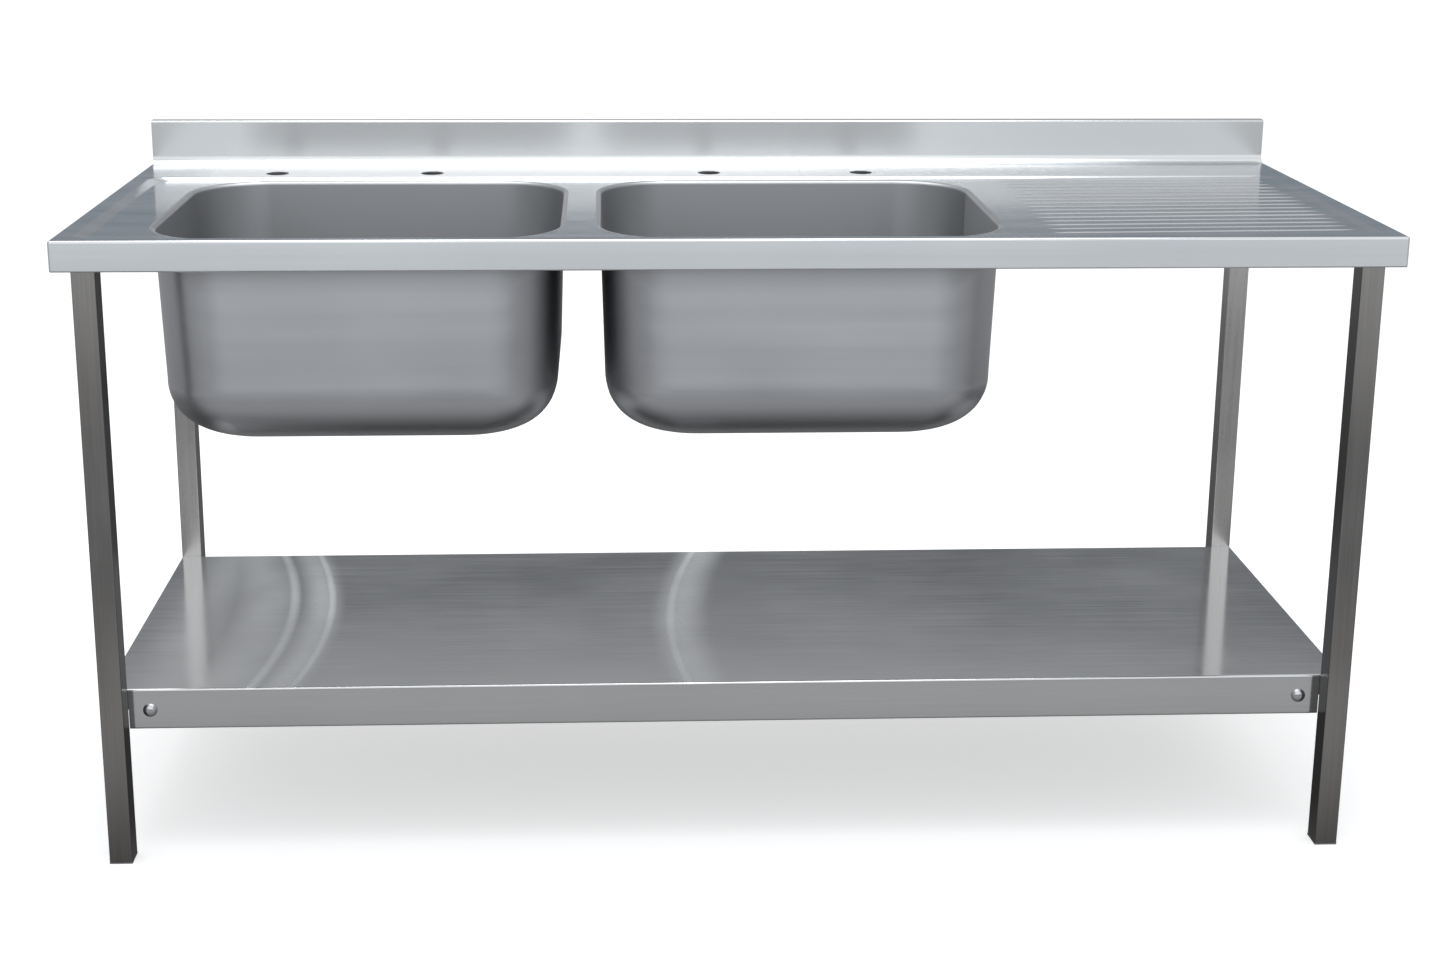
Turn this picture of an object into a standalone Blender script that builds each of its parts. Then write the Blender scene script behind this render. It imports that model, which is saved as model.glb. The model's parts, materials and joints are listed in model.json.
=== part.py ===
"""A two-bowl catering sink with a right-hand drainer, on a bolted square-tube stand with an undershelf.

Metres, +Z up. The origin is on the floor under the middle of the sink. -X is the left end as a person
at the sink sees it, -Y the front, where they stand, and +Y the wall side.
"""

import math

import bmesh
import bpy
from mathutils import Matrix, Vector

# Whole object
LENGTH = 1.800
DEPTH = 0.650
TOP_Z = 0.900
LEFT = -LENGTH / 2
RIGHT = LENGTH / 2
FRONT = -DEPTH / 2
BACK = DEPTH / 2
GAP = 0.0003  # between pieces that touch

# Worktop: one folded sheet with a pressed recess, a ribbed drainer and an upstand at the wall
SHEET = 0.0012
APRON_HEIGHT = 0.042
APRON_RETURN = 0.012
FOLD_RADIUS = 0.0035
UPSTAND_HEIGHT = 0.070
UPSTAND_RETURN = 0.020
UPSTAND_LIP = 0.012
COVE_RADIUS = 0.014
RECESS_DEPTH = 0.004
RIM_SIDE = 0.024
RIM_FRONT = 0.016
LEDGE_FRONT_Y = FRONT + 0.500  # front edge of the raised tap ledge
SLOPE_SIDE = 0.018
SLOPE_FRONT = 0.004
DRAINER_FALL_FROM = LEFT + 1.300  # the drainer's floor rises from here towards the right rim
DRAINER_END_DEPTH = 0.0008
RECESS_CORNER = 0.022
CORNER_STEPS = 6

# Drainer ribs
RIB_COUNT = 16
RIB_LEFT = LEFT + 1.328
RIB_RIGHT = LEFT + 1.746
RIB_FIRST_Y = FRONT + 0.056
RIB_PITCH = 0.028
RIB_WIDTH = 0.009
RIB_HEIGHT = 0.0016
RIB_TAPER = 0.030

# Tap holes
TAP_RADIUS = 0.0175
TAP_Y = FRONT + 0.538
TAP_XS = [LEFT + 0.215, LEFT + 0.455, LEFT + 0.888, LEFT + 1.128]

# Bowls
BOWL_LENGTH = 0.550
BOWL_WIDTH = 0.450
BOWL_LEFTS = {"left": LEFT + 0.113, "right": LEFT + 0.719}
BOWL_FRONT = FRONT + 0.034
BOWL_BOTTOM_Z = 0.600  # underside of the bowl
BOWL_CORNER = 0.100
BOWL_FLOOR_CORNER = 0.060
BOWL_FOOT_RADIUS = 0.085
BOWL_DRAFT = math.radians(1.6)
LIP_RADIUS = 0.006
LIP_FLAT = 0.0015  # level edge outside the lip's curve, flush with the deck
FLOOR_Z = TOP_Z - RECESS_DEPTH

# Waste fittings
WASTE_Y = BOWL_FRONT + 0.320
WASTE_FLANGE_RADIUS = 0.035
WASTE_FLANGE_THICK = 0.0030
WASTE_TAIL_RADIUS = 0.0233
WASTE_BORE_RADIUS = 0.0185
WASTE_MOUTH_RADIUS = 0.0225
WASTE_TAIL_LENGTH = 0.050  # below the bowl
WASTE_HOLE_RADIUS = 0.0242
WASTE_SEAL_THICK = 0.0015
WASTE_WASHER_THICK = 0.0030
WASTE_NUT_THICK = 0.0100
WASTE_NUT_FLATS = 0.056
WASTE_EDGE = 0.0008  # fall of the flange's top towards its rim and its mouth
WASTE_SEAT_DEPTH = 0.010
WASTE_SEAT_STEP = 0.003
PLUG_TOP_RADIUS = 0.0222
PLUG_FOOT_RADIUS = 0.0198
PLUG_THICK = 0.011
PLUG_PROUD = 0.001  # above the flange, and the bevel of the plug's top edge
KNOB_RADIUS = 0.0065
KNOB_HEIGHT = 0.016
TURN_STEPS = 24

# Stand
TUBE = 0.032
TUBE_WALL = 0.0015
TUBE_CORNER = 0.002
LEG_INSET_SIDE = 0.022
LEG_INSET_FRONT = 0.022
LEG_INSET_BACK = 0.023
CAP_THICK = 0.002
CAP_DEPTH = 0.020
RAIL_HEIGHT = 0.030

# Undershelf
SHELF_TOP_Z = 0.250
SHELF_LIP = 0.060
SHELF_SIDE_LIP = 0.034
SHELF_RETURN = 0.010
SHELF_RAIL = 0.030
STIFFENER_WIDTH = 0.060
STIFFENER_HEIGHT = 0.025
STIFFENER_FLANGE = 0.015
STIFFENER_END = 0.012  # from the shelf's lips

# Shelf fasteners
TAB_LENGTH = 0.050
TAB_HEIGHT = 0.044
TAB_THICK = 0.003
BOLT_RADIUS = 0.004
BOLT_FROM_LEG = 0.030
BOLT_HEAD_RADIUS = 0.010
BOLT_HEAD_HEIGHT = 0.0055
BOLT_LENGTH = 0.016
BOLT_Z = SHELF_TOP_Z - 0.031
NUT_THICK = 0.0065
NUT_FLATS = 0.013
CLEARANCE_RADIUS = 0.0046

# Worktop studs
STUD_RADIUS = 0.003
STUD_CLEARANCE = 0.0036
STUD_FROM_SIDE = 0.048
STUD_YS = {"front": FRONT + 0.120, "back": FRONT + 0.440}
STUD_LENGTH = 0.042
STUD_NUT_FLATS = 0.010
STUD_NUT_THICK = 0.005

# Stiffening channels under the worktop
CHANNEL_WIDTH = 0.030
CHANNEL_HEIGHT = 0.025
CHANNEL_WALL = 0.0015
CHANNEL_BACK_Y = FRONT + 0.488
CHANNEL_FRONT_Y = FRONT + 0.016
DRAINER_CHANNEL_XS = [LEFT + 1.420, LEFT + 1.640]

SIDES = ("left", "right")
ENDS = ("front", "back")
SIGN = {"left": -1, "right": 1, "front": -1, "back": 1}

for old in list(bpy.data.objects):
    bpy.data.objects.remove(old, do_unlink=True)

parts = bpy.data.collections.new("catering_sink")
cutters = bpy.data.collections.new("cutters")
bpy.context.scene.collection.children.link(parts)
bpy.context.scene.collection.children.link(cutters)


# Materials


def principled(name, colour, metallic, roughness):
    made = bpy.data.materials.new(name)
    made.use_nodes = True
    shader = made.node_tree.nodes["Principled BSDF"]
    shader.inputs["Base Color"].default_value = (*colour, 1.0)
    shader.inputs["Metallic"].default_value = metallic
    shader.inputs["Roughness"].default_value = roughness
    return made


SATIN = principled("satin_stainless", (0.62, 0.64, 0.66), 1.0, 0.32)
POLISHED = principled("polished_stainless", (0.66, 0.67, 0.68), 1.0, 0.20)
TUBE_STEEL = principled("tube_stainless", (0.52, 0.51, 0.50), 1.0, 0.38)
ZINC = principled("zinc_plated_steel", (0.55, 0.56, 0.58), 1.0, 0.45)
RUBBER = principled("black_rubber", (0.03, 0.03, 0.03), 0.0, 0.75)
PLASTIC = principled("grey_plastic", (0.22, 0.22, 0.22), 0.0, 0.55)


# Objects and modifiers


def add_object(name, bm, material, collection=parts):
    mesh = bpy.data.meshes.new(name)
    bm.to_mesh(mesh)
    bm.free()
    mesh.materials.append(material)
    made = bpy.data.objects.new(name, mesh)
    collection.objects.link(made)
    return made


def cutter(name, bm):
    """A closed helper shape, kept out of the object itself."""
    bmesh.ops.recalc_face_normals(bm, faces=bm.faces)
    made = add_object(name, bm, SATIN, cutters)
    made.hide_render = True
    made.display_type = "WIRE"
    return made


def boolean(target, helper, operation):
    modifier = target.modifiers.new(operation.lower() + "_" + helper.name, "BOOLEAN")
    modifier.operation = operation
    modifier.object = helper
    modifier.solver = "EXACT"


def solidify(target, thickness, exact=False):
    """Gives a surface its thickness, inwards. Exact keeps it true where three folds meet."""
    modifier = target.modifiers.new("wall", "SOLIDIFY")
    modifier.thickness = thickness
    modifier.offset = -1
    if exact:
        modifier.solidify_mode = "NON_MANIFOLD"
        modifier.nonmanifold_thickness_mode = "CONSTRAINTS"
        modifier.nonmanifold_boundary_mode = "NONE"
        modifier.nonmanifold_merge_threshold = 0.00001
    else:
        modifier.use_even_offset = True


def block(low, high):
    """A bmesh box between two corners."""
    low = Vector(low)
    high = Vector(high)
    bm = bmesh.new()
    place = Matrix.Translation((low + high) / 2) @ Matrix.Diagonal((*(high - low), 1.0))
    bmesh.ops.create_cube(bm, size=1.0, matrix=place)
    return bm


def rod(centre, axis, radius, length, segments=TURN_STEPS):
    """A bmesh cylinder centred on a point, along Y or Z."""
    turn = Matrix.Rotation(math.pi / 2, 4, "X") if axis == "Y" else Matrix.Identity(4)
    bm = bmesh.new()
    bmesh.ops.create_cone(
        bm,
        cap_ends=True,
        segments=segments,
        radius1=radius,
        radius2=radius,
        depth=length,
        matrix=Matrix.Translation(centre) @ turn,
    )
    return bm


def drill(target, name, centre, axis, radius, length):
    boolean(target, cutter(name, rod(centre, axis, radius, length)), "DIFFERENCE")


def edge_middle(edge):
    return (edge.verts[0].co + edge.verts[1].co) / 2


def edge_runs(edge, axis):
    direction = (edge.verts[1].co - edge.verts[0].co).normalized()
    return abs(direction[axis]) > 0.99


def extrude_by(bm, edges, move):
    """Extrudes edges, moves each new vertex by move(vertex), and returns the new far edges."""
    made = bmesh.ops.extrude_edge_only(bm, edges=edges)["geom"]
    for vertex in (g for g in made if isinstance(g, bmesh.types.BMVert)):
        vertex.co += move(vertex)
    new = {g for g in made if isinstance(g, bmesh.types.BMVert)}
    return [g for g in made if isinstance(g, bmesh.types.BMEdge) and set(g.verts) <= new]


def square_tube(name, low, high, axis):
    """A hollow square tube along axis 0, 1 or 2, open at both ends."""
    bm = block(low, high)
    ends = [f for f in bm.faces if abs(f.normal[axis]) > 0.9]
    bmesh.ops.delete(bm, geom=ends, context="FACES_ONLY")
    corners = [e for e in bm.edges if edge_runs(e, axis)]
    bmesh.ops.bevel(bm, geom=corners, offset=TUBE_CORNER, segments=2, affect="EDGES", profile=0.5)
    made = add_object(name, bm, TUBE_STEEL)
    solidify(made, TUBE_WALL)
    return made


def turned(name, profile, material, location, rotation=(0.0, 0.0, 0.0), closed=True):
    """Spins a profile of (radius, height) about the local Z axis. It runs down the outer side."""
    bm = bmesh.new()
    vertices = [bm.verts.new((radius, 0.0, height)) for radius, height in profile]
    pairs = list(zip(vertices, vertices[1:]))
    if closed:
        pairs.append((vertices[-1], vertices[0]))
    for a, b in pairs:
        bm.edges.new((a, b))
    made = add_object(name, bm, material)
    made.location = location
    made.rotation_euler = rotation
    spin = made.modifiers.new("turn", "SCREW")
    spin.steps = TURN_STEPS
    spin.render_steps = TURN_STEPS
    spin.use_merge_vertices = True
    spin.merge_threshold = 0.00001
    return made


def hex_nut(name, centre, axis, flats, thickness, bore):
    bm = rod(centre, axis, flats / math.sqrt(3), thickness, segments=6)
    nut = add_object(name, bm, ZINC)
    drill(nut, name + "_bore", centre, axis, bore, thickness * 2)


def arc(centre, radius, start, end, steps):
    """Points (a, b) on an arc between two angles in degrees, both ends included."""
    made = []
    for i in range(steps + 1):
        angle = math.radians(start + (end - start) * i / steps)
        made.append((centre[0] + radius * math.cos(angle), centre[1] + radius * math.sin(angle)))
    return made


def rounded_outline(low, high, radius, spread=0.0):
    """A rounded rectangle's points, counter-clockwise from the right end of the front side.

    A positive spread moves every side outwards and its corners' radius with it.
    """
    x0 = low[0] - spread
    y0 = low[1] - spread
    x1 = high[0] + spread
    y1 = high[1] + spread
    r = radius + spread
    centres = [(x1 - r, y0 + r), (x1 - r, y1 - r), (x0 + r, y1 - r), (x0 + r, y0 + r)]
    points = []
    for quarter, centre in enumerate(centres):
        start = -90 + 90 * quarter
        points += arc(centre, r, start, start + 90, CORNER_STEPS)
    return points


def loft(rings, cap_first=False, cap_last=False):
    """A bmesh through rings of equal length, each a list of (x, y, z)."""
    bm = bmesh.new()
    loops = [[bm.verts.new(point) for point in ring] for ring in rings]
    for upper, lower in zip(loops, loops[1:]):
        for i in range(len(upper)):
            j = (i + 1) % len(upper)
            bm.faces.new((upper[i], upper[j], lower[j], lower[i]))
    if cap_first:
        bm.faces.new(loops[0])
    if cap_last:
        bm.faces.new(loops[-1])
    return bm, loops


# Worktop


def upstand_profile():
    """(y, z) from the deck's back edge round the cove, up the upstand, back over its top and down its lip."""
    face = BACK - UPSTAND_RETURN
    top = TOP_Z + UPSTAND_HEIGHT
    fold = FOLD_RADIUS
    points = arc((face - COVE_RADIUS, TOP_Z + COVE_RADIUS), COVE_RADIUS, -90, 0, 5)[1:]
    points += arc((face + fold, top - fold), fold, 180, 90, 3)
    points += arc((BACK - fold, top - fold), fold, 90, 0, 3)
    points.append((BACK, top - UPSTAND_LIP))
    return points


def folded_sheet():
    """The open outer surface of the aprons, the deck and the upstand."""
    face_y = BACK - UPSTAND_RETURN
    cove_y = face_y - COVE_RADIUS
    bm = block((LEFT, FRONT, TOP_Z - APRON_HEIGHT), (RIGHT, cove_y, TOP_Z))
    gone = [f for f in bm.faces if f.normal.z < -0.9 or f.normal.y > 0.9]
    bmesh.ops.delete(bm, geom=gone, context="FACES_ONLY")
    folds = []
    for edge in bm.edges:
        middle = edge_middle(edge)
        on_top = middle.z > TOP_Z - 1e-6 and middle.y < cove_y - 1e-6
        upright = edge_runs(edge, 2) and middle.y < FRONT + 1e-6
        if on_top or upright:
            folds.append(edge)
    bmesh.ops.bevel(bm, geom=folds, offset=FOLD_RADIUS, segments=3, affect="EDGES", profile=0.5)
    back = [e for e in bm.edges if e.is_boundary and all(v.co.y > cove_y - 1e-6 for v in e.verts)]
    deck_edge = [e for e in back if edge_runs(e, 0) and e.calc_length() > LENGTH / 2]
    apron_edges = [e for e in back if e not in deck_edge]
    extrude_by(bm, apron_edges, lambda v: Vector((0.0, COVE_RADIUS, 0.0)))
    start = (cove_y, TOP_Z)
    for point in upstand_profile():
        step = Vector((0.0, point[0] - start[0], point[1] - start[1]))
        deck_edge = extrude_by(bm, deck_edge, lambda v, step=step: step)
        start = point
    low_z = TOP_Z - APRON_HEIGHT
    foot = [e for e in bm.edges if e.is_boundary and all(v.co.z < low_z + 1e-6 for v in e.verts)]

    def inwards(vertex):
        x = max(min(vertex.co.x, RIGHT - APRON_RETURN), LEFT + APRON_RETURN)
        y = max(vertex.co.y, FRONT + APRON_RETURN)
        return Vector((x - vertex.co.x, y - vertex.co.y, 0.0))

    extrude_by(bm, foot, inwards)
    bmesh.ops.remove_doubles(bm, verts=bm.verts, dist=1e-6)
    bmesh.ops.recalc_face_normals(bm, faces=bm.faces)
    deck = max(bm.faces, key=lambda f: f.calc_area())
    if deck.normal.z < 0:
        bmesh.ops.reverse_faces(bm, faces=bm.faces)
    return bm


def floor_z(x):
    """Height of the recess's floor, which rises along the drainer."""
    end = RIGHT - RIM_SIDE - SLOPE_SIDE
    share = max(0.0, min(1.0, (x - DRAINER_FALL_FROM) / (end - DRAINER_FALL_FROM)))
    return FLOOR_Z + share * (RECESS_DEPTH - DRAINER_END_DEPTH)


def recess_outline(inset_side, inset_front, spread=0.0):
    """The recess's outline in plan, with a point at each end of the line where the drainer starts to rise."""
    low = (LEFT + RIM_SIDE + inset_side, FRONT + RIM_FRONT + inset_front)
    high = (RIGHT - RIM_SIDE - inset_side, LEDGE_FRONT_Y - inset_front)
    points = rounded_outline(low, high, RECESS_CORNER, spread)
    middle_back = 2 * (CORNER_STEPS + 1)
    points.insert(middle_back, (DRAINER_FALL_FROM, high[1] + spread))
    points.append((DRAINER_FALL_FROM, low[1] - spread))
    return points


def recess_block(heights, spread):
    """The recess as a closed block: straight above the deck, sloped below it."""
    rim = recess_outline(0.0, 0.0)
    floor = recess_outline(SLOPE_SIDE, SLOPE_FRONT, spread)
    rings = [[(x, y, z) for x, y in rim] for z in heights]
    rings.append([(x, y, floor_z(x) - spread) for x, y in floor])
    bm, loops = loft(rings, cap_first=True, cap_last=True)
    bed = next(f for f in bm.faces if set(f.verts) == set(loops[-1]))
    crease = (loops[-1][2 * (CORNER_STEPS + 1)], loops[-1][-1])
    bmesh.utils.face_split(bed, crease[0], crease[1])
    return bm


def rib(y):
    """One raised drainer rib with pointed ends, rooted in the sheet."""
    bm = bmesh.new()
    root = SHEET / 2
    half = RIB_WIDTH / 2
    section = [(-half, -root), (-half, 0.0), (-half / 2, RIB_HEIGHT * 0.8), (0.0, RIB_HEIGHT)]
    section += [(half / 2, RIB_HEIGHT * 0.8), (half, 0.0), (half, -root)]
    for x in (RIB_LEFT + RIB_TAPER, RIB_RIGHT - RIB_TAPER):
        for across, up in section:
            bm.verts.new((x, y + across, floor_z(x) + up))
    for x in (RIB_LEFT, RIB_RIGHT):
        bm.verts.new((x, y, floor_z(x)))
        bm.verts.new((x, y, floor_z(x) - root))
    bmesh.ops.convex_hull(bm, input=bm.verts)
    return bm


def ribs():
    whole = bpy.data.meshes.new("ribs")
    joined = bmesh.new()
    for i in range(RIB_COUNT):
        one = rib(RIB_FIRST_Y + i * RIB_PITCH)
        one.to_mesh(whole)
        one.free()
        joined.from_mesh(whole)
    bpy.data.meshes.remove(whole)
    return joined


def bowl_box(side):
    """Low and high corner of a bowl's opening in plan."""
    x0 = BOWL_LEFTS[side]
    return (x0, BOWL_FRONT), (x0 + BOWL_LENGTH, BOWL_FRONT + BOWL_WIDTH)


def bowl_hole(side):
    low, high = bowl_box(side)
    outline = rounded_outline(low, high, BOWL_CORNER, LIP_RADIUS + LIP_FLAT + GAP)
    rings = [[(x, y, z) for x, y in outline] for z in (TOP_Z + 0.01, TOP_Z - 0.02)]
    return loft(rings, cap_first=True, cap_last=True)[0]


def make_worktop():
    top = add_object("worktop", folded_sheet(), SATIN)
    solidify(top, SHEET)
    pressed = recess_block([TOP_Z - SHEET / 2], SHEET)
    boolean(top, cutter("recess_underside", pressed), "UNION")
    hollow = recess_block([TOP_Z + 0.01, TOP_Z], 0.0)
    boolean(top, cutter("recess_hollow", hollow), "DIFFERENCE")
    boolean(top, cutter("drainer_ribs", ribs()), "UNION")
    for side in SIDES:
        boolean(top, cutter(side + "_bowl_hole", bowl_hole(side)), "DIFFERENCE")
    for i, x in enumerate(TAP_XS):
        drill(top, f"tap_hole_{i + 1}", (x, TAP_Y, TOP_Z), "Z", TAP_RADIUS, 0.04)


# Bowls


def bowl_rings(side):
    """Rings of a bowl's inner surface, from the outer edge of its lip down to its floor."""
    low, high = bowl_box(side)
    rings = []

    def add(spread, radius, z):
        outline = rounded_outline(low, high, radius - spread, spread)
        rings.append([(x, y, z) for x, y in outline])

    edge = LIP_RADIUS + LIP_FLAT
    add(edge, BOWL_CORNER + edge, FLOOR_Z)
    for offset, z in reversed(arc((LIP_RADIUS, FLOOR_Z - LIP_RADIUS), LIP_RADIUS, 180, 90, 3)):
        add(offset, BOWL_CORNER + offset, z)
    floor = BOWL_BOTTOM_Z + SHEET
    foot_z = floor + BOWL_FOOT_RADIUS
    drawn_in = (FLOOR_Z - foot_z) * math.tan(BOWL_DRAFT)
    steps = 6
    for i in range(steps + 1):
        angle = math.radians(90 * i / steps)
        inset = drawn_in + BOWL_FOOT_RADIUS * (1 - math.cos(angle))
        radius = BOWL_CORNER + (BOWL_FLOOR_CORNER - BOWL_CORNER) * i / steps
        add(-inset, radius, foot_z - BOWL_FOOT_RADIUS * math.sin(angle))
    return rings


def make_bowl(side):
    bm, _ = loft(bowl_rings(side), cap_last=True)
    bmesh.ops.recalc_face_normals(bm, faces=bm.faces)
    bed = min(bm.faces, key=lambda f: f.calc_center_median().z)
    if bed.normal.z < 0:
        bmesh.ops.reverse_faces(bm, faces=bm.faces)
    bowl = add_object(side + "_bowl", bm, SATIN)
    solidify(bowl, SHEET)
    drill(bowl, side + "_waste_hole", (*waste_xy(side), BOWL_BOTTOM_Z), "Z", WASTE_HOLE_RADIUS, 0.02)


# Waste fittings, one in each bowl


def waste_xy(side):
    return BOWL_LEFTS[side] + BOWL_LENGTH / 2, WASTE_Y


def make_waste(side):
    x, y = waste_xy(side)
    floor = BOWL_BOTTOM_Z + SHEET
    seal_top = floor + GAP + WASTE_SEAL_THICK
    flange_low = seal_top + GAP
    flange_top = flange_low + WASTE_FLANGE_THICK
    tail_end = BOWL_BOTTOM_Z - WASTE_TAIL_LENGTH
    mouth_low = flange_top - WASTE_SEAT_DEPTH
    body = [
        (WASTE_MOUTH_RADIUS, flange_top - WASTE_EDGE),
        (WASTE_FLANGE_RADIUS * 0.8, flange_top),
        (WASTE_FLANGE_RADIUS, flange_low + WASTE_EDGE),
        (WASTE_FLANGE_RADIUS, flange_low),
        (WASTE_TAIL_RADIUS, flange_low),
        (WASTE_TAIL_RADIUS, tail_end),
        (WASTE_BORE_RADIUS, tail_end),
        (WASTE_BORE_RADIUS, mouth_low - WASTE_SEAT_STEP),
        (PLUG_FOOT_RADIUS + GAP, mouth_low),
    ]
    turned(side + "_waste_body", body, POLISHED, (x, y, 0.0))
    ring_in = WASTE_TAIL_RADIUS + GAP
    seal = ring_profile(ring_in, WASTE_FLANGE_RADIUS - 0.002, floor + GAP, seal_top)
    turned(side + "_waste_seal", seal, RUBBER, (x, y, 0.0))
    washer_top = BOWL_BOTTOM_Z - GAP
    washer_low = washer_top - WASTE_WASHER_THICK
    washer = ring_profile(ring_in, WASTE_FLANGE_RADIUS - 0.004, washer_low, washer_top)
    turned(side + "_waste_washer", washer, RUBBER, (x, y, 0.0))
    nut_z = washer_low - GAP - WASTE_NUT_THICK / 2
    bore = WASTE_TAIL_RADIUS + GAP * 1.5
    hex_nut(side + "_waste_nut", (x, y, nut_z), "Z", WASTE_NUT_FLATS, WASTE_NUT_THICK, bore)
    make_plug(side, flange_top)


def ring_profile(inner, outer, low, high):
    """A washer's closed section, outer side first and downwards."""
    return [(outer, high), (outer, low), (inner, low), (inner, high)]


def make_plug(side, flange_top):
    """The rubber plug and its pull knob, which lift out together. Their origin is on the lift's axis."""
    x, y = waste_xy(side)
    top = flange_top + PLUG_PROUD
    foot = top - PLUG_THICK
    rubber = [(0.0, top), (PLUG_TOP_RADIUS - PLUG_PROUD, top)]
    rubber.append((PLUG_TOP_RADIUS - GAP, top - PLUG_PROUD))
    rubber += [(PLUG_FOOT_RADIUS - GAP, foot), (0.0, foot)]
    turned(side + "_plug", rubber, RUBBER, (x, y, 0.0), closed=False)
    base = top + GAP
    neck = KNOB_RADIUS * 0.45
    knob = [(0.0, base + KNOB_HEIGHT), (KNOB_RADIUS * 0.7, base + KNOB_HEIGHT - 0.001)]
    knob += [(KNOB_RADIUS, base + KNOB_HEIGHT - 0.004), (KNOB_RADIUS * 0.8, base + KNOB_HEIGHT - 0.007)]
    knob += [(neck, base + KNOB_HEIGHT - 0.009), (neck, base + 0.003), (KNOB_RADIUS * 1.6, base + 0.001)]
    knob += [(KNOB_RADIUS * 1.6, base), (0.0, base)]
    turned(side + "_plug_knob", knob, POLISHED, (x, y, 0.0), closed=False)


# Stand


def leg_x(side):
    """Low and high x of a leg."""
    if side == "left":
        return LEFT + LEG_INSET_SIDE, LEFT + LEG_INSET_SIDE + TUBE
    return RIGHT - LEG_INSET_SIDE - TUBE, RIGHT - LEG_INSET_SIDE


def leg_y(end):
    """Low and high y of a leg."""
    if end == "front":
        return FRONT + LEG_INSET_FRONT, FRONT + LEG_INSET_FRONT + TUBE
    return BACK - LEG_INSET_BACK - TUBE, BACK - LEG_INSET_BACK


def stand_top_z(side):
    """Height of the legs' and the rail's tops at one end, just under the sheet there."""
    return floor_z(leg_x(side)[0]) - SHEET - GAP


def make_leg(side, end):
    x0, x1 = leg_x(side)
    y0, y1 = leg_y(end)
    name = f"{end}_{side}_leg"
    square_tube(name, (x0, y0, CAP_THICK + GAP), (x1, y1, stand_top_z(side)), 2)
    cap = add_object(name + "_cap", block((x0, y0, 0.0), (x1, y1, CAP_THICK)), PLASTIC)
    inset = TUBE_WALL + GAP
    plug = block((x0 + inset, y0 + inset, CAP_THICK / 2), (x1 - inset, y1 - inset, CAP_DEPTH))
    boolean(cap, cutter(name + "_cap_plug", plug), "UNION")


def make_top_rails():
    front_y = leg_y("front")[1] + GAP
    back_y = leg_y("back")[0] - GAP
    for side in SIDES:
        x0, x1 = leg_x(side)
        top = stand_top_z(side)
        rail = square_tube(side + "_top_rail", (x0, front_y, top - RAIL_HEIGHT), (x1, back_y, top), 1)
        for end in ENDS:
            centre = (stud_x(side), STUD_YS[end], top)
            drill(rail, f"{end}_{side}_stud_hole", centre, "Z", STUD_CLEARANCE, RAIL_HEIGHT * 3)
    top = TOP_Z - SHEET - GAP
    low = (leg_x("left")[1] + GAP, leg_y("back")[0], top - RAIL_HEIGHT)
    high = (leg_x("right")[0] - GAP, leg_y("back")[1], top)
    square_tube("back_top_rail", low, high, 0)


def stud_x(side):
    return SIGN[side] * (LENGTH / 2 - STUD_FROM_SIDE)


def make_stud(side, end):
    """A stud fixed under the deck, down through the top rail, with its nut below the rail."""
    name = f"{end}_{side}_top_stud"
    x = stud_x(side)
    y = STUD_YS[end]
    top = stand_top_z(side)
    centre = (x, y, top - STUD_LENGTH / 2)
    add_object(name, rod(centre, "Z", STUD_RADIUS, STUD_LENGTH, TURN_STEPS // 2), ZINC)
    nut_z = top - RAIL_HEIGHT - GAP - STUD_NUT_THICK / 2
    bore = STUD_RADIUS + GAP
    hex_nut(name + "_nut", (x, y, nut_z), "Z", STUD_NUT_FLATS, STUD_NUT_THICK, bore)


def make_channel(name, x, high):
    """A channel across the underside of the deck, open downwards."""
    low = high - CHANNEL_HEIGHT
    half = CHANNEL_WIDTH / 2
    bm = block((x - half, CHANNEL_FRONT_Y, low), (x + half, CHANNEL_BACK_Y, high))
    gone = [f for f in bm.faces if f.normal.z < -0.9 or abs(f.normal.y) > 0.9]
    bmesh.ops.delete(bm, geom=gone, context="FACES_ONLY")
    solidify(add_object(name, bm, SATIN), CHANNEL_WALL)


def make_channels():
    deck_under = FLOOR_Z - SHEET - GAP
    middle = BOWL_LEFTS["right"] - (BOWL_LEFTS["right"] - BOWL_LEFTS["left"] - BOWL_LENGTH) / 2
    make_channel("divider_channel", middle, deck_under)
    for i, x in enumerate(DRAINER_CHANNEL_XS):
        high = floor_z(x - CHANNEL_WIDTH / 2) - SHEET - GAP
        make_channel(f"drainer_channel_{i + 1}", x, high)


# Undershelf


def lip_y(end):
    """The outer face of a shelf lip."""
    return leg_y("front")[1] + GAP if end == "front" else leg_y("back")[0] - GAP


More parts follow.
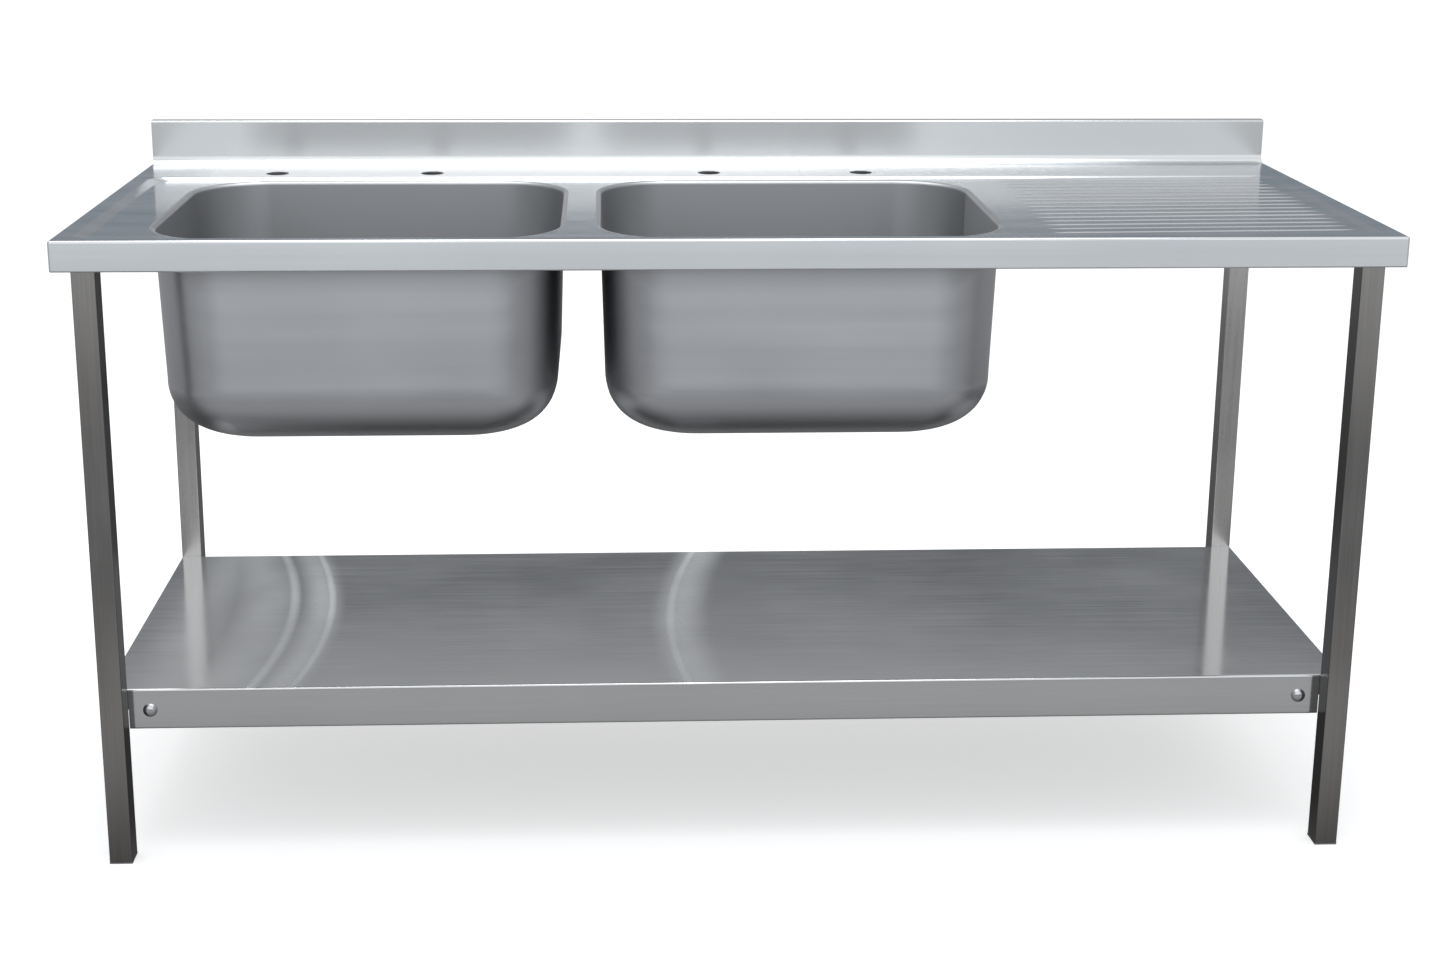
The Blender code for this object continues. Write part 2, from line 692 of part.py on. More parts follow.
def shelf_surface():
    """The shelf's open outer surface: top, front and back lips between the rails, side lips over them."""
    x0 = leg_x("left")[0] + GAP
    x1 = leg_x("right")[1] - GAP
    notch0 = leg_x("left")[1] + GAP
    notch1 = leg_x("right")[0] - GAP
    low = SHELF_TOP_Z - SHELF_LIP
    bm = block((notch0, lip_y("front"), low), (notch1, lip_y("back"), SHELF_TOP_Z))
    gone = [f for f in bm.faces if abs(f.normal.z) < 0.1 and abs(f.normal.x) > 0.9 or f.normal.z < -0.9]
    bmesh.ops.delete(bm, geom=gone, context="FACES_ONLY")
    for edge_x, far_x in ((notch0, x0), (notch1, x1)):
        edge = [e for e in bm.edges if edge_runs(e, 1) and abs(edge_middle(e).x - edge_x) < 1e-6]
        edge = [e for e in edge if edge_middle(e).z > SHELF_TOP_Z - 1e-6]
        out = extrude_by(bm, edge, lambda v, far_x=far_x, edge_x=edge_x: Vector((far_x - edge_x, 0.0, 0.0)))
        extrude_by(bm, out, lambda v: Vector((0.0, 0.0, -SHELF_SIDE_LIP)))
    for end in ENDS:
        edge = [e for e in bm.edges if edge_runs(e, 0) and abs(edge_middle(e).y - lip_y(end)) < 1e-6]
        edge = [e for e in edge if edge_middle(e).z < low + 1e-6]
        extrude_by(bm, edge, lambda v, end=end: Vector((0.0, -SIGN[end] * SHELF_RETURN, 0.0)))
    bmesh.ops.recalc_face_normals(bm, faces=bm.faces)
    top = max(bm.faces, key=lambda f: f.calc_area())
    if top.normal.z < 0:
        bmesh.ops.reverse_faces(bm, faces=bm.faces)
    return bm


def make_undershelf():
    shelf = add_object("undershelf", shelf_surface(), SATIN)
    solidify(shelf, SHEET, exact=True)
    for side in SIDES:
        for end in ENDS:
            centre = (bolt_x(side), lip_y(end), BOLT_Z)
            drill(shelf, f"{end}_{side}_lip_hole", centre, "Y", CLEARANCE_RADIUS, 0.01)
    half = STIFFENER_WIDTH / 2
    high = SHELF_TOP_Z - SHEET - GAP
    y0 = lip_y("front") + STIFFENER_END
    y1 = lip_y("back") - STIFFENER_END
    bm = block((-half, y0, high - STIFFENER_HEIGHT), (half, y1, high))
    gone = [f for f in bm.faces if f.normal.z > 0.9 or abs(f.normal.y) > 0.9]
    bmesh.ops.delete(bm, geom=gone, context="FACES_ONLY")
    for sign in (-1, 1):
        edge = [e for e in bm.edges if edge_runs(e, 1) and edge_middle(e).x * sign > 0]
        edge = [e for e in edge if edge_middle(e).z > high - 1e-6]
        extrude_by(bm, edge, lambda v, sign=sign: Vector((sign * STIFFENER_FLANGE, 0.0, 0.0)))
    bmesh.ops.recalc_face_normals(bm, faces=bm.faces)
    bed = min(bm.faces, key=lambda f: f.calc_center_median().z)
    if bed.normal.z < 0:
        bmesh.ops.reverse_faces(bm, faces=bm.faces)
    solidify(add_object("shelf_stiffener", bm, SATIN), CHANNEL_WALL)


def make_shelf_rail(side):
    x0, x1 = leg_x(side)
    inner = SHEET + GAP * 2
    if side == "left":
        x0 += inner
    else:
        x1 -= inner
    high = SHELF_TOP_Z - SHEET - GAP
    y0 = leg_y("front")[1] + GAP
    y1 = leg_y("back")[0] - GAP
    square_tube(side + "_shelf_rail", (x0, y0, high - SHELF_RAIL), (x1, y1, high), 1)


def bolt_x(side):
    inner = leg_x(side)[1] if side == "left" else leg_x(side)[0]
    return inner - SIGN[side] * BOLT_FROM_LEG


def make_shelf_fixing(side, end):
    """A tab on the shelf rail, and the dome-head bolt and nut that hold the lip to it."""
    name = f"{end}_{side}_shelf"
    inwards = -SIGN[end]
    lip_inner = lip_y(end) + inwards * SHEET
    near = lip_inner + inwards * GAP
    far = near + inwards * TAB_THICK
    rail_face = leg_x(side)[1] if side == "left" else leg_x(side)[0]
    start = rail_face - SIGN[side] * GAP
    stop = start - SIGN[side] * TAB_LENGTH
    low_z = BOLT_Z - TAB_HEIGHT / 2
    low = (min(start, stop), min(near, far), low_z)
    high = (max(start, stop), max(near, far), low_z + TAB_HEIGHT)
    tab = add_object(name + "_tab", block(low, high), TUBE_STEEL)
    centre = Vector((bolt_x(side), lip_y(end), BOLT_Z))
    drill(tab, name + "_tab_hole", centre, "Y", CLEARANCE_RADIUS, 0.02)
    # The bolt's head faces out of the sink: its local +Z is the way out.
    turn = (math.pi / 2, 0.0, 0.0) if end == "front" else (-math.pi / 2, 0.0, 0.0)
    dome = [(r, h + GAP) for r, h in dome_profile()]
    shank = [(BOLT_RADIUS, GAP), (BOLT_RADIUS, -BOLT_LENGTH), (0.0, -BOLT_LENGTH)]
    turned(name + "_bolt", dome + shank, ZINC, centre, turn, closed=False)
    nut_y = far + inwards * (GAP + NUT_THICK / 2)
    bore = BOLT_RADIUS + GAP
    hex_nut(name + "_nut", (centre.x, nut_y, BOLT_Z), "Y", NUT_FLATS, NUT_THICK, bore)


def dome_profile():
    """(radius, height) of a low dome from its crown down to its rim and its underside."""
    steps = 5
    points = []
    for i in range(steps + 1):
        angle = math.radians(90 - 90 * i / steps)
        points.append((BOLT_HEAD_RADIUS * math.cos(angle), BOLT_HEAD_HEIGHT * math.sin(angle)))
    points[0] = (0.0, BOLT_HEAD_HEIGHT)
    return points


make_worktop()
for side in SIDES:
    make_bowl(side)
    make_waste(side)
    make_shelf_rail(side)
    for end in ENDS:
        make_leg(side, end)
        make_stud(side, end)
        make_shelf_fixing(side, end)
make_top_rails()
make_channels()
make_undershelf()
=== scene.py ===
"""How the catering sink looks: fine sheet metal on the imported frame, brushed steels and a pale studio.

Metres, in the frame's own axes: +X to the drainer end, +Y to the wall, +Z up, and the floor at 0.
"""

import json
import math

import bmesh
import bpy
from mathutils import Matrix, Vector


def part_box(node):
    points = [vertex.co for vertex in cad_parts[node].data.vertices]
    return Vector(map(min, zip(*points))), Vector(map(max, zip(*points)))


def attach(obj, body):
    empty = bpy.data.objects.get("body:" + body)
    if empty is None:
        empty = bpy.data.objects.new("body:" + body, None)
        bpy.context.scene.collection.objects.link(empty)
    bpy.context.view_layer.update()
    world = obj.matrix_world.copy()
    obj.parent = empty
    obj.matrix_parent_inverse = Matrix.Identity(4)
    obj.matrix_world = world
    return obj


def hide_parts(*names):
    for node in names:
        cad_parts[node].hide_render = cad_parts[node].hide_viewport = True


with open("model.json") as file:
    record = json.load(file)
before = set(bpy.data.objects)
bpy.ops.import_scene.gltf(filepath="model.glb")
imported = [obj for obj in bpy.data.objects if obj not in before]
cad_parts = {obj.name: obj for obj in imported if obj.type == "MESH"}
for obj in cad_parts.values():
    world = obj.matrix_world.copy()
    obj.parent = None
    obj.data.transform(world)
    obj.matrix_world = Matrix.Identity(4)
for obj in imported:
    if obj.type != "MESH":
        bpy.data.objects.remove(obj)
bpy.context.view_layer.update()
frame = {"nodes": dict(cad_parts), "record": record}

SIDES = ("left", "right")
ENDS = ("front", "back")
SIGN = {"left": -1, "right": 1, "front": -1, "back": 1}
TURNS = 48  # segments of a turned piece
CORNER_STEPS = 12  # segments of a rounded corner in plan
CREASE_ANGLE = math.radians(38)
NEAR = 1e-5  # how close two heights or places count as the same
MERGE_WITHIN = 1e-6  # how close two vertices become one

# Worktop: its outside comes from the frame
WORKTOP_LOW, WORKTOP_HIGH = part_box("worktop")
LEFT, FRONT, APRON_LOW = WORKTOP_LOW
RIGHT, BACK, UPSTAND_TOP = WORKTOP_HIGH
BOWL_BOXES = {side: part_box(side + "_bowl") for side in SIDES}
SHEET = 0.0012
TOP_Z = UPSTAND_TOP - 0.070
FLOOR_Z = BOWL_BOXES["left"][1].z  # the recess's floor, and the bowls' lips
FOLD_RADIUS = 0.0035
FOOT_FOLD_RADIUS = 0.0020
APRON_RETURN = 0.012
UPSTAND_RETURN = 0.020
UPSTAND_LIP = 0.012
COVE_RADIUS = 0.014
FACE_Y = BACK - UPSTAND_RETURN
COVE_Y = FACE_Y - COVE_RADIUS
COVE_START_Z = TOP_Z + 0.002  # where the upstand's painted shade and the ledge's painted light start to change, up the cove
COVE_END_Z = TOP_Z + COVE_RADIUS
RIM_SIDE = 0.024
RIM_FRONT = 0.016
LEDGE_FRONT_Y = FRONT + 0.500
SLOPE_SIDE = 0.018
SLOPE_FRONT = 0.004
SLOPE_EASE = 0.16  # share of a slope that curves, at each end
SLOPE_STEPS = 4  # in each of those curves
RECESS_CORNER = 0.022
DRAINER_FALL_FROM = LEFT + 1.300
DRAINER_END_DEPTH = 0.0008
FALL_LINE = 2 * (CORNER_STEPS + 1)  # where the line's back end comes in a ring of the recess

# Drainer ribs
RIB_COUNT = 16
RIB_LEFT = LEFT + 1.328
RIB_RIGHT = LEFT + 1.746
RIB_FIRST_Y = FRONT + 0.056
RIB_PITCH = 0.028
RIB_WIDTH = 0.009
RIB_HEIGHT = 0.0012
RIB_TAPER = 0.030
RIB_STEPS = 10  # along each taper, and across

# Tap holes
TAP_RADIUS = 0.0175
TAP_Y = FRONT + 0.538
TAP_XS = [LEFT + 0.215, LEFT + 0.455, LEFT + 0.888, LEFT + 1.128]

# Bowls
LIP_RADIUS = 0.006
LIP_FLAT = 0.0015
LIP_EDGE = LIP_RADIUS + LIP_FLAT  # from a lip's outer edge to the bowl's wall
BOWL_CORNER = 0.100
BOWL_FLOOR_CORNER = 0.060
BOWL_FOOT_RADIUS = 0.085
BOWL_FOOT_STEPS = 18
BOWL_DRAFT = math.radians(1.6)

# Waste fittings, plugs and threads
WASTE_HOLE_RADIUS = 0.0242
WASTE_THREAD_RADIUS = 0.0233
WASTE_FLANGE_THICK = 0.0030
WASTE_BORE_RADIUS = 0.0185
WASTE_MOUTH_RADIUS = 0.0225
WASTE_MOUTH_DEPTH = 0.0018
WASTE_MOUTH_FOLD = 0.0014
WASTE_EDGE_RADIUS = 0.0012
WASTE_SEAT_DEPTH = 0.010
WASTE_THREAD_PITCH = 0.0023
WASTE_TIP_CHAMFER = 0.0010
PLUG_FOOT_RADIUS = 0.0195
PLUG_BEAD_RADIUS = 0.0014
STUD_THREAD_PITCH = 0.0010
THREAD_DEPTH = 0.55  # of a thread's pitch
TIP_CHAMFER = 0.0008

# Dome-head bolts, and nuts as (width across flats, bore radius)
BOLT_HEAD = 0.0055
BOLT_RIM = 0.0007
BOLT_SHANK_RADIUS = 0.004
BOLT_THREAD_PITCH = 0.00125
SHELF_NUT = (0.013, 0.0043)
STUD_NUT = (0.010, 0.0033)
WASTE_NUT = (0.056, 0.02375)

# Square tube, shelf and channels
TUBE_WALL = 0.0015
TUBE_CORNER = 0.0018
SHELF_FOLD_RADIUS = 0.0030
SHELF_RETURN = 0.010
SHELF_SIDE_DROP = 0.034
LEG_GAP = 0.0001  # between a leg and the shelf's front and back lips
SHELF_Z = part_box("undershelf")[1].z
ARC_Y = -0.06  # where the painted reflection arcs on the shelf bend most
# Each of them: (x there, bend, half width, strength)
SHELF_ARCS = [
    (-0.597, -0.50, 0.012, 1.00),
    (-0.612, -0.50, 0.040, 0.65),
    (-0.655, -0.50, 0.014, 0.80),
    (-0.700, -0.50, 0.080, 0.50),
    (-0.790, 0.0, 0.080, 0.35),
    (-0.078, 0.43, 0.016, 1.00),
    (-0.064, 0.43, 0.050, 0.70),
]


# Mesh helpers


def arc(centre, radius, start, end, steps):
    """Points (a, b) on an arc between two angles in degrees, both ends included."""
    points = []
    for i in range(steps + 1):
        angle = math.radians(start + (end - start) * i / steps)
        points.append((centre[0] + radius * math.cos(angle), centre[1] + radius * math.sin(angle)))
    return points


def circle(centre, radius, z, segments=TURNS):
    """Points of a level circle."""
    return [(x, y, z) for x, y in arc(centre, radius, 0, 360, segments)[:-1]]


def rounded_outline(low, high, radius):
    """A rounded rectangle's points, counter-clockwise from the right end of the front side."""
    x0, y0 = low[0] + radius, low[1] + radius
    x1, y1 = high[0] - radius, high[1] - radius
    points = []
    for quarter, centre in enumerate([(x1, y0), (x1, y1), (x0, y1), (x0, y0)]):
        start = -90 + 90 * quarter
        points += arc(centre, radius, start, start + 90, CORNER_STEPS)
    return points


def loft(bm, rings, closed=True):
    """Joins rings of (x, y, z) points with faces, and returns the rings' vertices."""
    loops = [[bm.verts.new(point) for point in ring] for ring in rings]
    for upper, lower in zip(loops, loops[1:]):
        for i in range(len(upper) if closed else len(upper) - 1):
            j = (i + 1) % len(upper)
            bm.faces.new((upper[i], upper[j], lower[j], lower[i]))
    return loops


def wire(bm, points):
    """A closed line of edges, for a hole."""
    vertices = [bm.verts.new(point) for point in points]
    for a, b in zip(vertices, vertices[1:] + vertices[:1]):
        bm.edges.new((a, b))


def fill(bm, inside):
    """Fills the flat region between the open edges whose ends all satisfy inside(point)."""
    edges = [e for e in bm.edges if len(e.link_faces) < 2 and all(inside(v.co) for v in e.verts)]
    bmesh.ops.triangle_fill(bm, use_beauty=True, use_dissolve=False, edges=edges, normal=(0.0, 0.0, 1.0))


def merge(bm):
    """Joins the parts of a mesh where their vertices meet."""
    bmesh.ops.remove_doubles(bm, verts=bm.verts, dist=MERGE_WITHIN)


def face_up(bm):
    """Turns an open sheet so that its largest face looks up."""
    bmesh.ops.recalc_face_normals(bm, faces=bm.faces)
    if max(bm.faces, key=lambda f: f.calc_area() * abs(f.normal.z)).normal.z < 0:
        bmesh.ops.reverse_faces(bm, faces=bm.faces)


def add_piece(name, bm, material, wall=0.0):
    """A piece from a bmesh, given a wall inwards where it is a sheet, and shaded smooth up to its creases."""
    mesh = bpy.data.meshes.new(name)
    bm.to_mesh(mesh)
    bm.free()
    piece = bpy.data.objects.new(name, mesh)
    bpy.context.scene.collection.objects.link(piece)
    if wall:
        sheet = piece.modifiers.new("wall", "SOLIDIFY")
        sheet.thickness = wall
        sheet.offset = -1
        sheet.use_even_offset = True
        apply_modifiers(piece)
    piece.data.materials.clear()
    piece.data.materials.append(material)
    shade(piece)
    return piece


def apply_modifiers(piece):
    """Replaces a piece's mesh with the shape that its modifiers give it."""
    graph = bpy.context.evaluated_depsgraph_get()
    piece.data = bpy.data.meshes.new_from_object(piece.evaluated_get(graph))
    piece.modifiers.clear()


def shade(piece):
    """Smooth shading that keeps flat faces flat and real creases sharp."""
    piece.data.shade_smooth()
    piece.data.set_sharp_from_angle(angle=CREASE_ANGLE)
    weighted = piece.modifiers.new("flat_faces", "WEIGHTED_NORMAL")
    weighted.mode = "FACE_AREA"
    weighted.weight = 100
    weighted.keep_sharp = True


def stand_for(piece, node):
    """The piece takes a CAD node's place on the node's own body."""
    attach(piece, body_of[node])
    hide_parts(node)


def box_sides(node):
    """A node's low corner, its high corner and its middle."""
    low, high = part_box(node)
    return low, high, (low + high) / 2


body_of = {node: body for body, nodes in frame["record"]["behaviour"]["bodies"].items() for node in nodes}


# Materials


def add_node(tree, kind, inputs=None, **settings):
    """A new shader node. An input is a plain value, or another node's output."""
    made = tree.nodes.new(kind)
    for name, value in settings.items():
        setattr(made, name, value)
    for key, value in (inputs or {}).items():
        if isinstance(value, bpy.types.NodeSocket):
            tree.links.new(value, made.inputs[key])
        else:
            made.inputs[key].default_value = value
    return made


def new_material(name):
    material = bpy.data.materials.new(name)
    material.use_nodes = True
    tree = material.node_tree
    return material, tree, tree.nodes["Principled BSDF"]


def calc(tree, operation, *values):
    """One step of maths on plain values or other nodes' outputs."""
    return add_node(tree, "ShaderNodeMath", dict(enumerate(values)), operation=operation).outputs[0]


def vector_calc(tree, operation, *vectors):
    """One step of maths on vectors. A dot product comes out as a value."""
    made = add_node(tree, "ShaderNodeVectorMath", dict(enumerate(vectors)), operation=operation)
    return made.outputs["Value" if operation == "DOT_PRODUCT" else "Vector"]


def split(tree, vector):
    """A vector's parts, by the names X, Y and Z."""
    return add_node(tree, "ShaderNodeSeparateXYZ", {0: vector}).outputs


def coordinates(tree, kind):
    """Object is a place in metres. Generated is a share of the piece's box or, in the world, a direction."""
    return add_node(tree, "ShaderNodeTexCoord").outputs[kind]


def facing(tree):
    """Which way the surface faces."""
    return add_node(tree, "ShaderNodeNewGeometry").outputs["Normal"]


def scaled_noise(tree, place, scale, detail=2.0, roughness=0.5):
    """Noise stretched by a scale for each axis, in features per metre."""
    stretched = vector_calc(tree, "MULTIPLY", place, scale)
    inputs = {"Vector": stretched, "Scale": 1.0, "Detail": detail, "Roughness": roughness}
    return add_node(tree, "ShaderNodeTexNoise", inputs).outputs["Fac"]


def remap(tree, value, low, high, from_low=0.3, from_high=0.7, curve="LINEAR"):
    """Stretches a value over a new range, from the middle of a noise's range where no other is given."""
    inputs = {"Value": value, "From Min": from_low, "From Max": from_high, "To Min": low, "To Max": high}
    return add_node(tree, "ShaderNodeMapRange", inputs, interpolation_type=curve).outputs[0]


def add_colour_mix(tree, share, first, second):
    """Mixes two colours, each a plain colour or another node's output."""
    made = tree.nodes.new("ShaderNodeMix")
    made.data_type = "RGBA"
    tree.links.new(share, made.inputs["Factor"])
    ends = [socket for socket in made.inputs if socket.type == "RGBA"]
    for socket, colour in zip(ends, (first, second)):
        if isinstance(colour, bpy.types.NodeSocket):
            tree.links.new(colour, socket)
        else:
            socket.default_value = (*colour, 1.0)
    return next(socket for socket in made.outputs if socket.type == "RGBA")


def add_bump(tree, height, distance, strength=1.0, **inputs):
    inputs = {"Height": height, "Strength": strength, "Distance": distance, **inputs}
    return add_node(tree, "ShaderNodeBump", inputs).outputs[0]


def brushing_tangent(tree, brush):
    """The direction across the brushing, in which reflections spread."""
    return vector_calc(tree, "NORMALIZE", vector_calc(tree, "CROSS_PRODUCT", facing(tree), brush))


def brushed_steel(name, dark, light, roughness, anisotropy, brush, streak, grain, wave, zones=()):
    """Stainless steel brushed along a direction.

    dark and light are the ends of its colour's drift, roughness is (smoothest, roughest) and brush is the
    brushing's direction. streak is the number of streaks in a metre across it, grain the depth of its
    scratches, and wave that of the sheet's slow bumps. A zone is (share at a place, colour, roughness).
    """
    material, tree, shader = new_material(name)
    place = coordinates(tree, "Object")
    streaks_along = [streak / STREAK_LENGTH if part > 0.5 else streak for part in brush]
    streaks = scaled_noise(tree, place, streaks_along, detail=3.0, roughness=0.65)
    drift = scaled_noise(tree, place, DRIFT_SCALE, detail=3.0, roughness=0.55)
    tone = calc(tree, "ADD", streaks, drift)
    colour = add_colour_mix(tree, remap(tree, tone, 0.0, 1.0, *TONE_RANGE), dark, light)
    rough = remap(tree, tone, *roughness, *TONE_RANGE)
    for share_at, zone_colour, zone_roughness in zones:
        share = share_at(tree, place)
        colour = add_colour_mix(tree, share, colour, zone_colour)
        rough = remap(tree, share, rough, zone_roughness, 0.0, 1.0)
    tree.links.new(colour, shader.inputs["Base Color"])
    tree.links.new(rough, shader.inputs["Roughness"])
    waved = add_bump(tree, scaled_noise(tree, place, WAVE_SCALE, detail=1.0), wave)
    scratches_along = [SCRATCHES_ALONG if part > 0.5 else SCRATCHES_ACROSS for part in brush]
    scratches = scaled_noise(tree, place, scratches_along, detail=1.0)
    tree.links.new(add_bump(tree, scratches, grain, Normal=waved), shader.inputs["Normal"])
    tree.links.new(brushing_tangent(tree, brush), shader.inputs["Tangent"])
    shader.inputs["Metallic"].default_value = 1.0
    shader.inputs["Anisotropic"].default_value = anisotropy
    return material


def painted_reflection_arcs(tree, place):
    """Share of the bright arcs on the shelf's top, a painted reflection: bent lines across it, broken up by
    noise.
    """
    parts = split(tree, place)
    along = calc(tree, "SUBTRACT", parts["Y"], ARC_Y)
    squared = calc(tree, "MULTIPLY", along, along)
    total = 0.0
    for middle_x, bend, width, strength in SHELF_ARCS:
        bent = calc(tree, "MULTIPLY_ADD", squared, -bend, parts["X"])
        off = calc(tree, "ABSOLUTE", calc(tree, "SUBTRACT", bent, middle_x))
        line = remap(tree, off, strength, 0.0, 0.0, width, "SMOOTHSTEP")
        total = calc(tree, "MAXIMUM", total, line)
    patchy = remap(tree, scaled_noise(tree, place, ARC_PATCH_SCALE), 0.50, 1.0)
    on_top = remap(tree, parts["Z"], 0.0, 1.0, SHELF_Z - SHELF_FOLD_RADIUS, SHELF_Z)
    return calc(tree, "MULTIPLY", calc(tree, "MULTIPLY", total, patchy), on_top)


def upstand_painted_shade(tree, place):
    """Share of the upstand's painted shade, a darker colour than the deck's: 1 above the cove."""
    return remap(tree, split(tree, place)["Z"], 0.0, 1.0, COVE_START_Z, COVE_END_Z)


def ledge_painted_light(tree, place):
    """Share of the tap ledge's painted light, a brighter colour which fades out towards both ends and up the
    cove.
    """
    parts = split(tree, place)
    share = remap(tree, parts["Y"], 0.0, 1.0, LEDGE_FRONT_Y - 0.001, LEDGE_FRONT_Y + 0.001)
    right = remap(tree, parts["X"], 1.0, 0.0, DRAINER_FALL_FROM - 0.30, RIGHT - 0.10)
    left = remap(tree, parts["X"], 1.0, 0.0, LEFT + 0.12, LEFT + RIM_SIDE)
    up = remap(tree, parts["Z"], 1.0, 0.0, COVE_START_Z, COVE_END_Z)
    for fade in (right, left, up):
        share = calc(tree, "MULTIPLY", share, fade)
    return share


def outside_bowl(tree):
    """1 on a bowl's outer side and 0 on its inner side, by whether the sheet faces away from its middle."""
    off_middle = vector_calc(tree, "SUBTRACT", coordinates(tree, "Generated"), (0.5, 0.5, 0.5))
    return remap(tree, vector_calc(tree, "DOT_PRODUCT", off_middle, facing(tree)), 0.0, 1.0, -0.02, 0.02)


def painted_shade_inside_bowl(tree, place):
    """1 on a bowl's inner side and 0 on its outer side: where painted shade darkens the inside of the bowl.
    """
    return calc(tree, "SUBTRACT", 1.0, outside_bowl(tree))


def painted_bowl_shade(tree, place):
    """Share of the painted shade outside a bowl: darker on its end walls, round its foot and under the
    worktop.
    """
    height = split(tree, coordinates(tree, "Generated"))["Z"]
    parts = split(tree, facing(tree))
    ends = remap(tree, calc(tree, "ABSOLUTE", parts["X"]), 0.0, 0.65, 0.30, 1.00)
    foot = remap(tree, parts["Z"], 0.0, 0.95, -0.12, -0.90)
    top = remap(tree, height, 0.0, 0.55, 0.74, 0.87)
    share = calc(tree, "MAXIMUM", calc(tree, "MAXIMUM", ends, foot), top)
    return calc(tree, "MULTIPLY", share, outside_bowl(tree))


def leg_inner_side_painted_shade(tree, place):
    """Share of a leg's painted shade: the darker side, the one that faces the middle of the sink's length."""
    inward = calc(tree, "MULTIPLY", split(tree, place)["X"], split(tree, facing(tree))["X"])
    return remap(tree, inward, 0.0, 1.0, 0.45 * LEFT, 0.80 * LEFT)


def dull_material(name, dark, light, roughness, grain_scale, grain):
    """Rubber or moulded plastic: grain_scale is the number of grains in a metre, and grain their depth."""
    material, tree, shader = new_material(name)
    place = coordinates(tree, "Object")
    drift = remap(tree, scaled_noise(tree, place, (90.0, 90.0, 90.0), detail=3.0), 0.0, 1.0)
    pores = scaled_noise(tree, place, (grain_scale,) * 3)
    tree.links.new(add_colour_mix(tree, drift, dark, light), shader.inputs["Base Color"])
    tree.links.new(remap(tree, pores, *roughness), shader.inputs["Roughness"])
    tree.links.new(add_bump(tree, pores, grain, strength=0.6), shader.inputs["Normal"])
    return material


# A brush direction is never quite along an axis, so that it is defined on faces square to that axis too.
ALONG_X = (1.0, 0.02, 0.005)
ALONG_Y = (0.02, 1.0, 0.005)
ALONG_Z = (0.02, 0.005, 1.0)

# Noise scales of every steel, in features per metre
STREAK_LENGTH = 60  # a streak's length, in widths
SCRATCHES_ALONG = 14.0
SCRATCHES_ACROSS = 1400.0
DRIFT_SCALE = (3.1, 3.7, 4.3)
WAVE_SCALE = (2.6, 3.4, 3.0)
ARC_PATCH_SCALE = (6.0, 5.0, 5.0)
TONE_RANGE = (0.7, 1.3)  # of two noises added

# The deck, upstand and ledge are one sheet: the upstand's darker colour is painted shade, and the ledge's
# brighter colour is painted light.
SHEET_STEEL = brushed_steel(
    "satin_stainless",
    dark=(0.57, 0.59, 0.61), light=(0.70, 0.72, 0.74), roughness=(0.12, 0.18), anisotropy=0.80,
    brush=ALONG_X, streak=30.0, grain=1.5e-6, wave=0.00012,
    zones=[(upstand_painted_shade, (0.55, 0.565, 0.575), 0.27), (ledge_painted_light, (0.76, 0.77, 0.78), 0.28)],
)
# The shelf's bright arcs are painted reflections.
SHELF_STEEL = brushed_steel(
    "satin_stainless_shelf",
    dark=(0.56, 0.57, 0.58), light=(0.62, 0.63, 0.64), roughness=(0.10, 0.16), anisotropy=0.60,
    brush=ALONG_X, streak=240.0, grain=1.5e-6, wave=0.00025,
    zones=[(painted_reflection_arcs, (0.95, 0.96, 0.97), 0.44)],
)
# The bowl's darker inside, and its darker end walls, foot and top outside, are painted shade.
BOWL_STEEL = brushed_steel(
    "satin_stainless_bowl",
    dark=(0.54, 0.555, 0.58), light=(0.61, 0.625, 0.65), roughness=(0.32, 0.40), anisotropy=0.25,
    brush=ALONG_X, streak=30.0, grain=1.5e-6, wave=0.00040,
    zones=[(painted_shade_inside_bowl, (0.38, 0.39, 0.405), 0.50), (painted_bowl_shade, (0.20, 0.20, 0.205), 0.40)],
)
# The front legs' darker inner sides are painted shade.
FRONT_LEG_STEEL = brushed_steel(
    "tube_stainless_front",
    dark=(0.28, 0.27, 0.26), light=(0.36, 0.35, 0.34), roughness=(0.28, 0.36), anisotropy=0.50,
    brush=ALONG_Z, streak=240.0, grain=2.5e-6, wave=0.00006,
    zones=[(leg_inner_side_painted_shade, (0.16, 0.158, 0.155), 0.32)],
)
# The back legs are the same tube as the front legs: their lighter colour is painted light.
BACK_LEG_STEEL = brushed_steel(
    "tube_stainless_back",
    dark=(0.52, 0.51, 0.50), light=(0.62, 0.61, 0.60), roughness=(0.24, 0.32), anisotropy=0.50,
    brush=ALONG_Z, streak=240.0, grain=2.5e-6, wave=0.00006,
)
RAIL_STEEL = brushed_steel(
    "tube_stainless_cross",
    dark=(0.45, 0.43, 0.41), light=(0.56, 0.55, 0.54), roughness=(0.26, 0.34), anisotropy=0.50,
    brush=ALONG_Y, streak=240.0, grain=2.5e-6, wave=0.00006,
)
BACK_RAIL_STEEL = brushed_steel(
    "tube_stainless_along",
    dark=(0.45, 0.43, 0.41), light=(0.56, 0.55, 0.54), roughness=(0.26, 0.34), anisotropy=0.50,
    brush=ALONG_X, streak=240.0, grain=2.5e-6, wave=0.00006,
)
POLISHED_STEEL = brushed_steel(
    "polished_stainless",
    dark=(0.60, 0.61, 0.62), light=(0.70, 0.71, 0.72), roughness=(0.08, 0.15), anisotropy=0.20,
    brush=ALONG_X, streak=400.0, grain=1.0e-6, wave=0.00001,
)
FASTENER_STEEL = brushed_steel(
    "fastener_steel",
    dark=(0.50, 0.51, 0.53), light=(0.60, 0.61, 0.63), roughness=(0.16, 0.26), anisotropy=0.10,
    brush=ALONG_X, streak=400.0, grain=2.0e-6, wave=0.00001,
)
